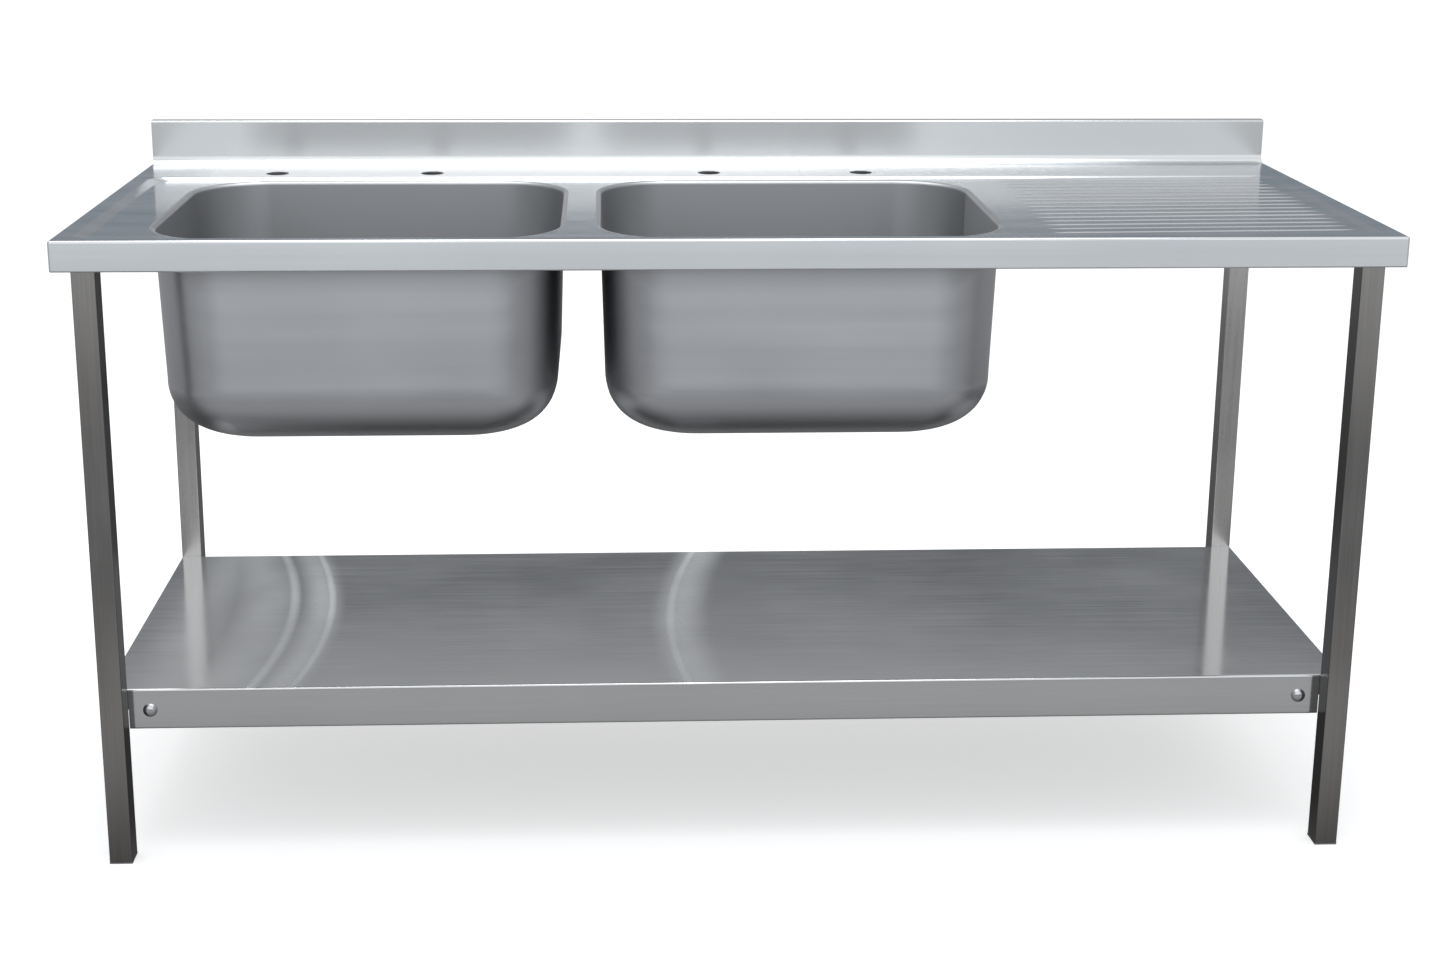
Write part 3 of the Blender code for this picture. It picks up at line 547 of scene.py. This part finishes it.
RUBBER = dull_material(
    "black_rubber",
    dark=(0.018, 0.018, 0.019), light=(0.034, 0.034, 0.035), roughness=(0.55, 0.75),
    grain_scale=1500.0, grain=0.00005,
)
PLASTIC = dull_material(
    "grey_plastic",
    dark=(0.19, 0.19, 0.20), light=(0.25, 0.25, 0.26), roughness=(0.42, 0.60),
    grain_scale=2200.0, grain=0.00004,
)


# Worktop


def floor_z(x):
    """Height of the recess's floor, which rises along the drainer."""
    end = RIGHT - RIM_SIDE - SLOPE_SIDE
    share = max(0.0, min(1.0, (x - DRAINER_FALL_FROM) / (end - DRAINER_FALL_FROM)))
    return FLOOR_Z + share * (TOP_Z - DRAINER_END_DEPTH - FLOOR_Z)


def on_recess_floor(point):
    """Whether a point is at the height of the recess's floor, in front of the ledge."""
    return abs(point.z - floor_z(point.x)) < NEAR and point.y < LEDGE_FRONT_Y


def recess_outline(inset_side, inset_front):
    """The recess's outline in plan, with a point at each end of the line where the drainer starts to rise.

    The line's back end has the index FALL_LINE, and its front end comes last.
    """
    low = (LEFT + RIM_SIDE + inset_side, FRONT + RIM_FRONT + inset_front)
    high = (RIGHT - RIM_SIDE - inset_side, LEDGE_FRONT_Y - inset_front)
    points = rounded_outline(low, high, RECESS_CORNER)
    points.insert(FALL_LINE, (DRAINER_FALL_FROM, high[1]))
    points.append((DRAINER_FALL_FROM, low[1]))
    return points


def eased(share):
    """Share of a slope's fall at a share of its width: straight, with a curve at each end."""
    if share < SLOPE_EASE:
        return share**2 / (2 * SLOPE_EASE * (1 - SLOPE_EASE))
    if share > 1 - SLOPE_EASE:
        return 1 - eased(1 - share)
    return (share - SLOPE_EASE / 2) / (1 - SLOPE_EASE)


def recess_rings():
    """Rings from the rim's inner edge down the slope to the recess's floor."""
    rim = recess_outline(0.0, 0.0)
    floor = recess_outline(SLOPE_SIDE, SLOPE_FRONT)
    eases = [SLOPE_EASE * i / SLOPE_STEPS for i in range(SLOPE_STEPS + 1)]
    shares = eases + [0.5] + [1 - ease for ease in reversed(eases)]
    rings = []
    for share in shares:
        ring = []
        for (x0, y0), (x1, y1) in zip(rim, floor):
            fall = eased(share) * (TOP_Z - floor_z(x1))
            ring.append((x0 + (x1 - x0) * share, y0 + (y1 - y0) * share, TOP_Z - fall))
        rings.append(ring)
    return rings


def apron_ring(inset, z):
    """The apron's line in plan, from the left back end round the front to the right back end."""
    radius = max(FOLD_RADIUS - inset, 0.0)
    x0, x1, y0 = LEFT + inset, RIGHT - inset, FRONT + inset
    points = [(x0, FACE_Y), (x0, COVE_Y)]
    points += arc((x0 + radius, y0 + radius), radius, 180, 270, 6)
    points += arc((x1 - radius, y0 + radius), radius, 270, 360, 6)
    points += [(x1, COVE_Y), (x1, FACE_Y)]
    return [(x, y, z) for x, y in points]


def apron_rings():
    """Rings from the deck's edge round the fold, down the apron and under its foot."""
    section = arc((FOLD_RADIUS, TOP_Z - FOLD_RADIUS), FOLD_RADIUS, 90, 180, 8)
    foot = FOOT_FOLD_RADIUS
    section += arc((foot, APRON_LOW + foot), foot, 180, 270, 5)
    section.append((APRON_RETURN, APRON_LOW))
    return [apron_ring(inset, z) for inset, z in section]


def upstand_rows():
    """Rows from the deck's back edge round the cove, up the upstand, over its top and down its lip."""
    fold = FOLD_RADIUS
    section = arc((COVE_Y, TOP_Z + COVE_RADIUS), COVE_RADIUS, -90, 0, 12)
    section += arc((FACE_Y + fold, UPSTAND_TOP - fold), fold, 180, 90, 8)
    section += arc((BACK - fold, UPSTAND_TOP - fold), fold, 90, 0, 8)
    section.append((BACK, UPSTAND_TOP - UPSTAND_LIP))
    return [[(LEFT + fold, y, z), (RIGHT - fold, y, z)] for y, z in section]


def rib_rows(y):
    """Rows of points across a pressed rib with pointed ends, from its left tip to its right one."""
    shares = [math.sin(math.pi / 2 * i / RIB_STEPS) for i in range(RIB_STEPS + 1)]
    stations = [(RIB_LEFT + RIB_TAPER * i / RIB_STEPS, share) for i, share in enumerate(shares)]
    stations += [(RIB_LEFT + RIB_RIGHT - x, share) for x, share in reversed(stations)]
    rows = []
    for x, share in stations:
        row = []
        for j in range(RIB_STEPS + 1):
            across = 2 * j / RIB_STEPS - 1
            lift = RIB_HEIGHT * share * (1 + math.cos(math.pi * across)) / 2
            row.append((x, y + across * share * RIB_WIDTH / 2, floor_z(x) + lift))
        rows.append(row)
    return rows


def bowl_outline(side):
    """The outer edge of a bowl's lip, which the worktop's hole meets."""
    low, high = BOWL_BOXES[side]
    return [(x, y, FLOOR_Z) for x, y in rounded_outline(low, high, BOWL_CORNER + LIP_EDGE)]


def make_worktop():
    """One sheet: the apron, the recess, the ribs and the upstand, with holes for the bowls and the taps."""
    bm = bmesh.new()
    loft(bm, apron_rings(), closed=False)
    loft(bm, upstand_rows(), closed=False)
    bed = loft(bm, recess_rings())[-1]
    bm.edges.new((bed[FALL_LINE], bed[-1]))
    for i in range(RIB_COUNT):
        loft(bm, rib_rows(RIB_FIRST_Y + i * RIB_PITCH), closed=False)
    for side in SIDES:
        wire(bm, bowl_outline(side))
    for x in TAP_XS:
        wire(bm, circle((x, TAP_Y), TAP_RADIUS, TOP_Z))
    merge(bm)
    fill(bm, lambda p: abs(p.z - TOP_Z) < NEAR and p.y < COVE_Y + NEAR)
    fill(bm, lambda p: on_recess_floor(p) and p.x < DRAINER_FALL_FROM + NEAR)
    fill(bm, lambda p: on_recess_floor(p) and p.x > DRAINER_FALL_FROM - NEAR)
    face_up(bm)
    stand_for(add_piece("folded_worktop", bm, SHEET_STEEL, SHEET), "worktop")


# Bowls


def bowl_rings(side):
    """Rings of a bowl's inner surface, from the outer edge of its lip down to its floor."""
    low, high = BOWL_BOXES[side]
    floor = low.z + SHEET
    foot_z = floor + BOWL_FOOT_RADIUS
    rings = [bowl_outline(side)]

    def add(inset, radius, z):
        ring_low = (low.x + LIP_EDGE + inset, low.y + LIP_EDGE + inset)
        ring_high = (high.x - LIP_EDGE - inset, high.y - LIP_EDGE - inset)
        rings.append([(x, y, z) for x, y in rounded_outline(ring_low, ring_high, radius)])

    for offset, z in reversed(arc((LIP_RADIUS, FLOOR_Z - LIP_RADIUS), LIP_RADIUS, 180, 90, 8)):
        add(-offset, BOWL_CORNER + offset, z)
    drawn_in = (FLOOR_Z - foot_z) * math.tan(BOWL_DRAFT)
    for i in range(BOWL_FOOT_STEPS + 1):
        angle = math.pi / 2 * i / BOWL_FOOT_STEPS
        inset = drawn_in + BOWL_FOOT_RADIUS * (1 - math.cos(angle))
        radius = BOWL_CORNER + (BOWL_FLOOR_CORNER - BOWL_CORNER) * i / BOWL_FOOT_STEPS
        add(inset, radius, foot_z - BOWL_FOOT_RADIUS * math.sin(angle))
    return rings


def make_bowl(side):
    """A pressed bowl, with a hole for its waste."""
    bm = bmesh.new()
    loft(bm, bowl_rings(side))
    floor = BOWL_BOXES[side][0].z + SHEET
    wire(bm, circle(waste_xy(side), WASTE_HOLE_RADIUS, floor))
    fill(bm, lambda p: p.z < floor + NEAR)
    face_up(bm)
    stand_for(add_piece(side + "_pressed_bowl", bm, BOWL_STEEL, SHEET), side + "_bowl")


def waste_xy(side):
    """The middle of a waste in plan."""
    _, _, middle = box_sides(side + "_waste_body")
    return middle.x, middle.y


# Turned pieces


def at_middle(middle):
    """Puts a turned piece's axis on a node's upright middle line."""
    return Matrix.Translation((middle.x, middle.y, 0.0))


def turned(name, profile, material, place):
    """Spins a closed profile of (radius, height) about the local Z axis."""
    bm = bmesh.new()
    rings = []
    for radius, height in profile:
        rings.append([place @ Vector(point) for point in circle((0.0, 0.0), radius, height)])
    loft(bm, rings)
    merge(bm)
    bmesh.ops.recalc_face_normals(bm, faces=bm.faces)
    return add_piece(name, bm, material)


def threaded(radius, high, low, pitch):
    """A profile down a threaded side: ridges at a pitch, drawn as rings."""
    count = int((high - low) / pitch)
    points = []
    for i in range(count):
        top = high - i * pitch
        points.append((radius, top - pitch * 0.1))
        points.append((radius - pitch * THREAD_DEPTH, top - pitch * 0.5))
        points.append((radius, top - pitch * 0.9))
    return points


def make_waste(side):
    """A waste's body: its flange in the bowl, its threaded tail, its bore and the seat for the plug."""
    low, high, middle = box_sides(side + "_waste_body")
    top = high.z
    under = top - WASTE_FLANGE_THICK
    mouth = top - WASTE_MOUTH_DEPTH
    seat = top - WASTE_SEAT_DEPTH
    flange = (high.x - low.x) / 2
    fold = WASTE_MOUTH_FOLD
    edge = WASTE_EDGE_RADIUS
    thread_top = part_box(side + "_waste_nut")[1].z + 0.001
    # From the mouth over the flange to its edge, and back under it
    profile = [(WASTE_MOUTH_RADIUS, mouth)]
    profile += arc((WASTE_MOUTH_RADIUS + fold, mouth), fold, 160, 90, 5)
    profile += [(flange * 0.82, top - 0.0002)]
    profile += arc((flange - edge, under + edge + 0.0004), edge, 80, 0, 6)
    profile += [(flange, under), (WASTE_THREAD_RADIUS, under), (WASTE_THREAD_RADIUS, thread_top)]
    # Down the tail's thread, and up its bore to the seat
    profile += threaded(WASTE_THREAD_RADIUS, thread_top, low.z + WASTE_TIP_CHAMFER, WASTE_THREAD_PITCH)
    profile += [(WASTE_THREAD_RADIUS - WASTE_TIP_CHAMFER, low.z), (WASTE_BORE_RADIUS, low.z)]
    profile += [(WASTE_BORE_RADIUS, seat - 0.003), (PLUG_FOOT_RADIUS + 0.0006, seat)]
    profile += [(WASTE_MOUTH_RADIUS, mouth)]
    body = turned(side + "_turned_waste", profile, POLISHED_STEEL, at_middle(middle))
    stand_for(body, side + "_waste_body")


def make_plug(side):
    """A rubber plug: a dished top with a beaded rim, and a tapered foot."""
    low, high, middle = box_sides(side + "_plug")
    radius = (high.x - low.x) / 2
    bead = PLUG_BEAD_RADIUS
    dish = high.z - 0.0004
    # The dish, the bead and the groove under it
    profile = [(0.0, dish), (radius * 0.30, dish), (radius * 0.36, high.z)]
    profile += arc((radius - bead, high.z - bead), bead, 90, 0, 6)
    profile += [(radius * 0.965, high.z - 0.0036), (radius * 0.985, high.z - 0.0044)]
    # The foot
    profile += [(PLUG_FOOT_RADIUS + 0.0004, low.z + 0.0022), (PLUG_FOOT_RADIUS - 0.0006, low.z + 0.0006)]
    profile += [(PLUG_FOOT_RADIUS - 0.0016, low.z), (0.0, low.z)]
    plug = turned(side + "_rubber_plug", profile, RUBBER, at_middle(middle))
    stand_for(plug, side + "_plug")


def make_knob(side):
    """A plug's pull knob: a round head on a waisted neck and a flat foot."""
    low, high, middle = box_sides(side + "_plug_knob")
    foot = (high.x - low.x) / 2
    head = foot / 1.6
    neck = head * 0.45
    profile = [(0.0, high.z)]
    profile += arc((head - 0.0030, high.z - 0.0030), 0.0030, 90, -20, 10)  # the head
    profile += arc((neck + 0.0016, high.z - 0.0090), 0.0016, 120, 180, 4)  # the top of the neck
    profile += arc((neck + 0.0020, low.z + 0.0032), 0.0020, 180, 250, 5)  # the bottom of the neck
    profile += arc((foot - 0.0006, low.z + 0.0006), 0.0006, 80, 0, 3)  # the foot's edge
    profile += [(foot, low.z), (0.0, low.z)]
    knob = turned(side + "_pull_knob", profile, POLISHED_STEEL, at_middle(middle))
    stand_for(knob, side + "_plug_knob")


def make_bolt(side, end):
    """A dome-head bolt: its local +Z is the way out of the sink."""
    node = f"{end}_{side}_shelf_bolt"
    low, high, middle = box_sides(node)
    out = SIGN[end]
    face = low.y if end == "front" else high.y
    radius = (high.x - low.x) / 2
    length = high.y - low.y - BOLT_HEAD
    shank = BOLT_SHANK_RADIUS
    plain = 0.003
    steps = 12
    profile = [(0.0, BOLT_HEAD)]
    for i in range(1, steps):
        angle = math.pi / 2 * i / steps
        height = BOLT_RIM + (BOLT_HEAD - BOLT_RIM) * math.cos(angle)
        profile.append(((radius - BOLT_RIM) * math.sin(angle), height))
    profile += arc((radius - BOLT_RIM, BOLT_RIM), BOLT_RIM, 90, 0, 3)
    profile += [(radius, 0.0), (shank, 0.0), (shank, -plain)]
    profile += threaded(shank, -plain, TIP_CHAMFER - length, BOLT_THREAD_PITCH)
    profile += [(shank - TIP_CHAMFER, -length), (0.0, -length)]
    seat = Matrix.Translation((middle.x, face - out * BOLT_HEAD, middle.z))
    place = seat @ Matrix.Rotation(-out * math.pi / 2, 4, "X")
    bolt = turned(node.replace("bolt", "dome_bolt"), profile, FASTENER_STEEL, place)
    stand_for(bolt, node)


def make_stud(side, end):
    """A threaded stud under the worktop."""
    node = f"{end}_{side}_top_stud"
    low, high, middle = box_sides(node)
    radius = (high.x - low.x) / 2
    plain = high.z - 0.002
    profile = [(0.0, high.z), (radius, high.z), (radius, plain)]
    profile += threaded(radius, plain, low.z + TIP_CHAMFER, STUD_THREAD_PITCH)
    profile += [(radius - 0.0007, low.z), (0.0, low.z)]
    stud = turned(node + "_threaded", profile, FASTENER_STEEL, at_middle(middle))
    stand_for(stud, node)


def make_nut(node, axis, flats, bore):
    """A hexagon nut with chamfered corners and a countersunk bore, along axis 1 or 2."""
    low, high, middle = box_sides(node)
    half = (high[axis] - low[axis]) / 2
    turn = Matrix.Rotation(math.pi / 2, 4, "X") if axis == 1 else Matrix.Identity(4)
    place = Matrix.Translation(middle) @ turn
    countersink = bore * 0.12
    mouth = bore + countersink
    chamfer = flats / 2 * 0.97
    slope = math.tan(math.radians(30))

    def hexagon(i):
        """A hexagon's radius at a step round it, with a corner on the local X axis."""
        angle = math.radians(360 * i / TURNS % 60 - 30)
        return flats / 2 / math.cos(angle)

    def ring(radius_at, height_at):
        points = []
        for i in range(TURNS):
            angle = math.radians(360 * i / TURNS)
            radius = radius_at(i)
            point = Vector((radius * math.cos(angle), radius * math.sin(angle), height_at(radius)))
            points.append(place @ point)
        return points

    rings = [
        ring(lambda i: bore, lambda r: half - countersink),
        ring(lambda i: mouth, lambda r: half),
        ring(lambda i: chamfer, lambda r: half),
        ring(hexagon, lambda r: half - (r - chamfer) * slope),
        ring(hexagon, lambda r: (r - chamfer) * slope - half),
        ring(lambda i: chamfer, lambda r: -half),
        ring(lambda i: mouth, lambda r: -half),
        ring(lambda i: bore, lambda r: countersink - half),
    ]
    rings.append(rings[0])
    bm = bmesh.new()
    loft(bm, rings)
    merge(bm)
    bmesh.ops.recalc_face_normals(bm, faces=bm.faces)
    stand_for(add_piece(node + "_chamfered", bm, FASTENER_STEEL), node)


# Stand and undershelf


def block(low, high):
    """A box's mesh, to fold a sheet or a tube from."""
    bm = bmesh.new()
    place = Matrix.Translation((low + high) / 2) @ Matrix.Diagonal((*(high - low), 1.0))
    bmesh.ops.create_cube(bm, size=1.0, matrix=place)
    return bm


def edge_middle(edge):
    return (edge.verts[0].co + edge.verts[1].co) / 2


def edge_runs(edge, axis):
    """Whether an edge lies along an axis."""
    return abs((edge.verts[0].co - edge.verts[1].co).normalized()[axis]) > 0.99


def make_tube(node, axis, material):
    """A square tube with rounded corners, open at both ends."""
    bm = block(*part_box(node))
    bmesh.ops.delete(bm, geom=[f for f in bm.faces if abs(f.normal[axis]) > 0.9], context="FACES_ONLY")
    corners = [e for e in bm.edges if edge_runs(e, axis)]
    bmesh.ops.bevel(bm, geom=corners, offset=TUBE_CORNER, segments=5, affect="EDGES", profile=0.5)
    stand_for(add_piece(node + "_tube", bm, material, TUBE_WALL), node)


def extrude_by(bm, edges, move):
    """Pulls a flap out of a sheet's edges, and returns the flap's far edges."""
    made = bmesh.ops.extrude_edge_only(bm, edges=edges)["geom"]
    moved = {g for g in made if isinstance(g, bmesh.types.BMVert)}
    for vertex in moved:
        vertex.co += Vector(move)
    return [g for g in made if isinstance(g, bmesh.types.BMEdge) and set(g.verts) <= moved]


def make_undershelf():
    """The shelf: its top, its front and back lips with a folded edge, and its side lips over the rails."""
    low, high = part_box("undershelf")
    notch_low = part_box("front_left_leg")[1].x + LEG_GAP
    notch_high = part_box("front_right_leg")[0].x - LEG_GAP
    bm = block(Vector((notch_low, low.y, low.z)), Vector((notch_high, high.y, high.z)))
    gone = [f for f in bm.faces if abs(f.normal.x) > 0.9 or f.normal.z < -0.9]
    bmesh.ops.delete(bm, geom=gone, context="FACES_ONLY")
    folds = []
    for edge_x, far_x in ((notch_low, low.x), (notch_high, high.x)):
        across = [e for e in bm.edges if edge_runs(e, 1) and abs(edge_middle(e).x - edge_x) < NEAR]
        upper = [e for e in across if edge_middle(e).z > high.z - NEAR]
        flap = extrude_by(bm, upper, (far_x - edge_x, 0.0, 0.0))
        extrude_by(bm, flap, (0.0, 0.0, -SHELF_SIDE_DROP))
        folds += flap
    for end, y in (("front", low.y), ("back", high.y)):
        along = [e for e in bm.edges if edge_runs(e, 0) and abs(edge_middle(e).y - y) < NEAR]
        along = [e for e in along if e.calc_length() > (notch_high - notch_low) / 2]
        folds += [e for e in along if edge_middle(e).z > high.z - NEAR]
        foot = [e for e in along if edge_middle(e).z < low.z + NEAR]
        extrude_by(bm, foot, (0.0, -SIGN[end] * SHELF_RETURN, 0.0))
        folds += foot
    bmesh.ops.bevel(bm, geom=folds, offset=SHELF_FOLD_RADIUS, segments=6, affect="EDGES", profile=0.5)
    merge(bm)
    face_up(bm)
    stand_for(add_piece("folded_undershelf", bm, SHELF_STEEL, SHEET), "undershelf")


def keep_node(node, material, bevel=0.0):
    """A CAD node that stays as it is, with its finish and, where it is a solid block, a softened edge."""
    piece = frame["nodes"][node]
    piece.data.materials.clear()
    piece.data.materials.append(material)
    if bevel:
        edge = piece.modifiers.new("soft_edge", "BEVEL")
        edge.width = bevel
        edge.segments = 3
        edge.limit_method = "ANGLE"
        edge.angle_limit = math.radians(50)
    piece.data.shade_smooth()
    piece.data.set_sharp_from_angle(angle=math.radians(30))


def make_stand():
    """The legs, rails and channels, and what fixes them."""
    leg_steels = {"front": FRONT_LEG_STEEL, "back": BACK_LEG_STEEL}
    for side in SIDES:
        for end in ENDS:
            make_tube(f"{end}_{side}_leg", 2, leg_steels[end])
            keep_node(f"{end}_{side}_leg_cap", PLASTIC, bevel=0.0006)
            keep_node(f"{end}_{side}_shelf_tab", RAIL_STEEL)
            make_bolt(side, end)
            make_stud(side, end)
            make_nut(f"{end}_{side}_shelf_nut", 1, *SHELF_NUT)
            make_nut(f"{end}_{side}_top_stud_nut", 2, *STUD_NUT)
        keep_node(side + "_top_rail", RAIL_STEEL)
        keep_node(side + "_shelf_rail", RAIL_STEEL)
    keep_node("back_top_rail", BACK_RAIL_STEEL)
    for node in ("divider_channel", "drainer_channel_1", "drainer_channel_2", "shelf_stiffener"):
        keep_node(node, SHEET_STEEL)


def make_bowls():
    """The bowls, each with its waste fitting and its plug."""
    for side in SIDES:
        make_bowl(side)
        make_waste(side)
        make_plug(side)
        make_knob(side)
        make_nut(side + "_waste_nut", 2, *WASTE_NUT)
        keep_node(side + "_waste_seal", RUBBER)
        keep_node(side + "_waste_washer", RUBBER)


# Stage


WHITE = (1.0, 1.0, 1.0, 1.0)
FLOOR_HALF_WIDTH = 12.0
MIRRORED_STRENGTH = 2.0

# The floor's mirrored tones, from 6 m in front of the sink's middle to 2 m behind it
FLOOR_BANDS = [
    (0.10, (0.48, 0.495, 0.505)),
    (0.28, (0.42, 0.430, 0.440)),
    (0.36, (0.08, 0.075, 0.070)),
    (0.42, (0.09, 0.085, 0.080)),
    (0.50, (0.19, 0.200, 0.215)),
    (0.59, (0.12, 0.120, 0.122)),
    (0.65, (0.27, 0.270, 0.272)),
    (0.73, (0.04, 0.040, 0.041)),
    (1.00, (0.06, 0.062, 0.064)),
]
# The same beside and behind the sink, by the distance from its middle, up to 6 m
FLOOR_AROUND = [
    (0.20, (0.09, 0.090, 0.091)),
    (0.36, (0.11, 0.110, 0.112)),
    (0.50, (0.24, 0.242, 0.246)),
    (1.00, (0.30, 0.302, 0.306)),
]
# The room's mirrored tones, from straight down to straight up
ROOM_BEHIND = [
    (0.00, (0.15, 0.16, 0.17)),
    (0.50, (0.15, 0.168, 0.185)),
    (0.595, (0.090, 0.112, 0.135)),
    (0.635, (0.26, 0.26, 0.26)),
    (0.655, (0.065, 0.068, 0.075)),
    (0.675, (0.065, 0.068, 0.074)),
    (0.69, (0.125, 0.128, 0.133)),
    (0.705, (0.31, 0.313, 0.317)),
    (0.77, (0.30, 0.305, 0.31)),
    (0.86, (0.36, 0.365, 0.37)),
    (1.00, (0.60, 0.60, 0.60)),
]
ROOM_AHEAD = [
    (0.00, (0.11, 0.11, 0.115)),
    (0.40, (0.40, 0.40, 0.41)),
    (0.50, (0.42, 0.43, 0.44)),
    (0.56, (0.62, 0.63, 0.64)),
    (0.64, (0.78, 0.79, 0.80)),
    (0.80, (0.50, 0.51, 0.52)),
    (1.00, (0.60, 0.60, 0.60)),
]
ROOM_ASIDE = [
    (0.00, (0.15, 0.15, 0.155)),
    (0.50, (0.22, 0.225, 0.23)),
    (0.60, (0.25, 0.255, 0.26)),
    (0.72, (0.30, 0.305, 0.31)),
    (0.85, (0.38, 0.385, 0.39)),
    (1.00, (0.60, 0.60, 0.60)),
]


def ramp(tree, value, stops):
    """A colour ramp from (position, colour) stops."""
    made = add_node(tree, "ShaderNodeValToRGB", {"Fac": value})
    elements = made.color_ramp.elements
    while len(elements) < len(stops):
        elements.new(0.5)
    for element, (position, colour) in zip(elements, stops):
        element.position = position
        element.color = (*colour, 1.0)
    return made.outputs["Color"]


def show(tree, output, seen, mirrored):
    """The camera sees one shader, and the steel mirrors the other."""
    by_camera = add_node(tree, "ShaderNodeLightPath").outputs["Is Camera Ray"]
    pick = add_node(tree, "ShaderNodeMixShader", {0: by_camera, 1: mirrored, 2: seen})
    tree.links.new(pick.outputs[0], tree.nodes[output].inputs["Surface"])


def mirrored_floor(tree):
    """The floor's mirrored tone: bands in front of the sink, and a plainer tone around them."""
    parts = split(tree, coordinates(tree, "Object"))
    bands = ramp(tree, remap(tree, parts["Y"], 0.0, 1.0, -6.0, 2.0), FLOOR_BANDS)
    aside = calc(tree, "ABSOLUTE", parts["X"])
    # The bands reach 1.1 m to each side, further than that far out in front, and less behind the middle
    squared = calc(tree, "POWER", calc(tree, "MINIMUM", parts["Y"], 0.0), 2.0)
    reach = calc(tree, "MULTIPLY_ADD", squared, 0.15, 0.4)
    reach = calc(tree, "MAXIMUM", reach, remap(tree, parts["Y"], 1.1, 0.5, 0.0, 0.6))
    share = remap(tree, calc(tree, "DIVIDE", aside, reach), 0.0, 1.0, 1.1, 1.7, "SMOOTHSTEP")
    behind = remap(tree, parts["Y"], 0.0, 3.0, 0.5, 3.5)
    away = remap(tree, calc(tree, "ADD", aside, behind), 0.0, 1.0, 0.0, 6.0)
    return add_colour_mix(tree, share, bands, ramp(tree, away, FLOOR_AROUND))


def make_floor():
    """A plain pale floor, which the steel mirrors in tones of its own."""
    bm = bmesh.new()
    bmesh.ops.create_grid(bm, x_segments=1, y_segments=1, size=FLOOR_HALF_WIDTH)
    mesh = bpy.data.meshes.new("floor")
    bm.to_mesh(mesh)
    bm.free()
    floor = bpy.data.objects.new("floor", mesh)
    bpy.context.scene.collection.objects.link(floor)
    material, tree, shader = new_material("pale_floor")
    shader.inputs["Base Color"].default_value = (0.60, 0.605, 0.61, 1.0)
    shader.inputs["Roughness"].default_value = 0.9
    shader.inputs["Specular IOR Level"].default_value = 0.1
    glow = add_node(tree, "ShaderNodeEmission", {"Color": WHITE, "Strength": 0.55}).outputs[0]
    pale = add_node(tree, "ShaderNodeAddShader", {0: shader.outputs[0], 1: glow}).outputs[0]
    inputs = {"Color": mirrored_floor(tree), "Strength": MIRRORED_STRENGTH}
    show(tree, "Material Output", pale, add_node(tree, "ShaderNodeEmission", inputs).outputs[0])
    mesh.materials.append(material)


def mirrored_room(tree):
    """The room's mirrored tone: blue-grey behind the sink, lighter in front of it, and grey at its sides."""
    parts = split(tree, coordinates(tree, "Generated"))
    height = remap(tree, parts["Z"], 0.0, 1.0, -1.0, 1.0)
    depth = remap(tree, parts["Y"], 0.0, 1.0, -0.25, 0.25, "SMOOTHSTEP")
    middle = add_colour_mix(tree, depth, ramp(tree, height, ROOM_AHEAD), ramp(tree, height, ROOM_BEHIND))
    aside = remap(tree, calc(tree, "ABSOLUTE", parts["X"]), 0.0, 1.0, 0.36, 0.60, "SMOOTHSTEP")
    return add_colour_mix(tree, aside, middle, ramp(tree, height, ROOM_ASIDE))


def make_world():
    """A plain white background, and the room that the steel mirrors."""
    world = bpy.data.worlds.new("studio")
    world.use_nodes = True
    tree = world.node_tree
    bpy.context.scene.world = world
    white = add_node(tree, "ShaderNodeBackground", {"Color": WHITE, "Strength": 1.05}).outputs[0]
    inputs = {"Color": mirrored_room(tree), "Strength": MIRRORED_STRENGTH}
    show(tree, "World Output", white, add_node(tree, "ShaderNodeBackground", inputs).outputs[0])


def make_light(name, place, target, size, power):
    """A soft rectangular light, aimed at a target."""
    light = bpy.data.lights.new(name, "AREA")
    light.shape = "RECTANGLE"
    light.size, light.size_y = size
    light.energy = power
    made = bpy.data.objects.new(name, light)
    bpy.context.scene.collection.objects.link(made)
    made.location = place
    made.rotation_euler = (Vector(target) - Vector(place)).to_track_quat("-Z", "Y").to_euler()


def make_camera():
    """In front of the sink, above it and left of its middle, looking down and a little to the right."""
    place = Vector((-0.173, -2.95, 1.42))
    down, right, roll = math.radians(13.4), math.radians(2.5), math.radians(0.3)
    sight = Vector((math.sin(right) * math.cos(down), math.cos(right) * math.cos(down), -math.sin(down)))
    flat = Vector((math.cos(right), -math.sin(right), 0.0))
    up = flat.cross(sight)
    across = flat * math.cos(roll) + up * math.sin(roll)
    tall = up * math.cos(roll) - flat * math.sin(roll)
    camera = bpy.data.cameras.new("camera")
    camera.lens = 50.7
    camera.sensor_width = 36.0
    camera.shift_x = 0.02
    camera.shift_y = -0.11
    made = bpy.data.objects.new("camera", camera)
    bpy.context.scene.collection.objects.link(made)
    turn = Matrix((across, tall, -sight)).transposed().to_4x4()
    made.matrix_world = Matrix.Translation(place) @ turn
    bpy.context.scene.camera = made


make_worktop()
make_bowls()
make_undershelf()
make_stand()
make_floor()
make_world()
make_light("overhead", place=(-0.2, -0.3, 3.0), target=(0.0, 0.0, 0.9), size=(2.6, 1.6), power=55)
make_camera()
bpy.context.scene.view_settings.view_transform = "Standard"
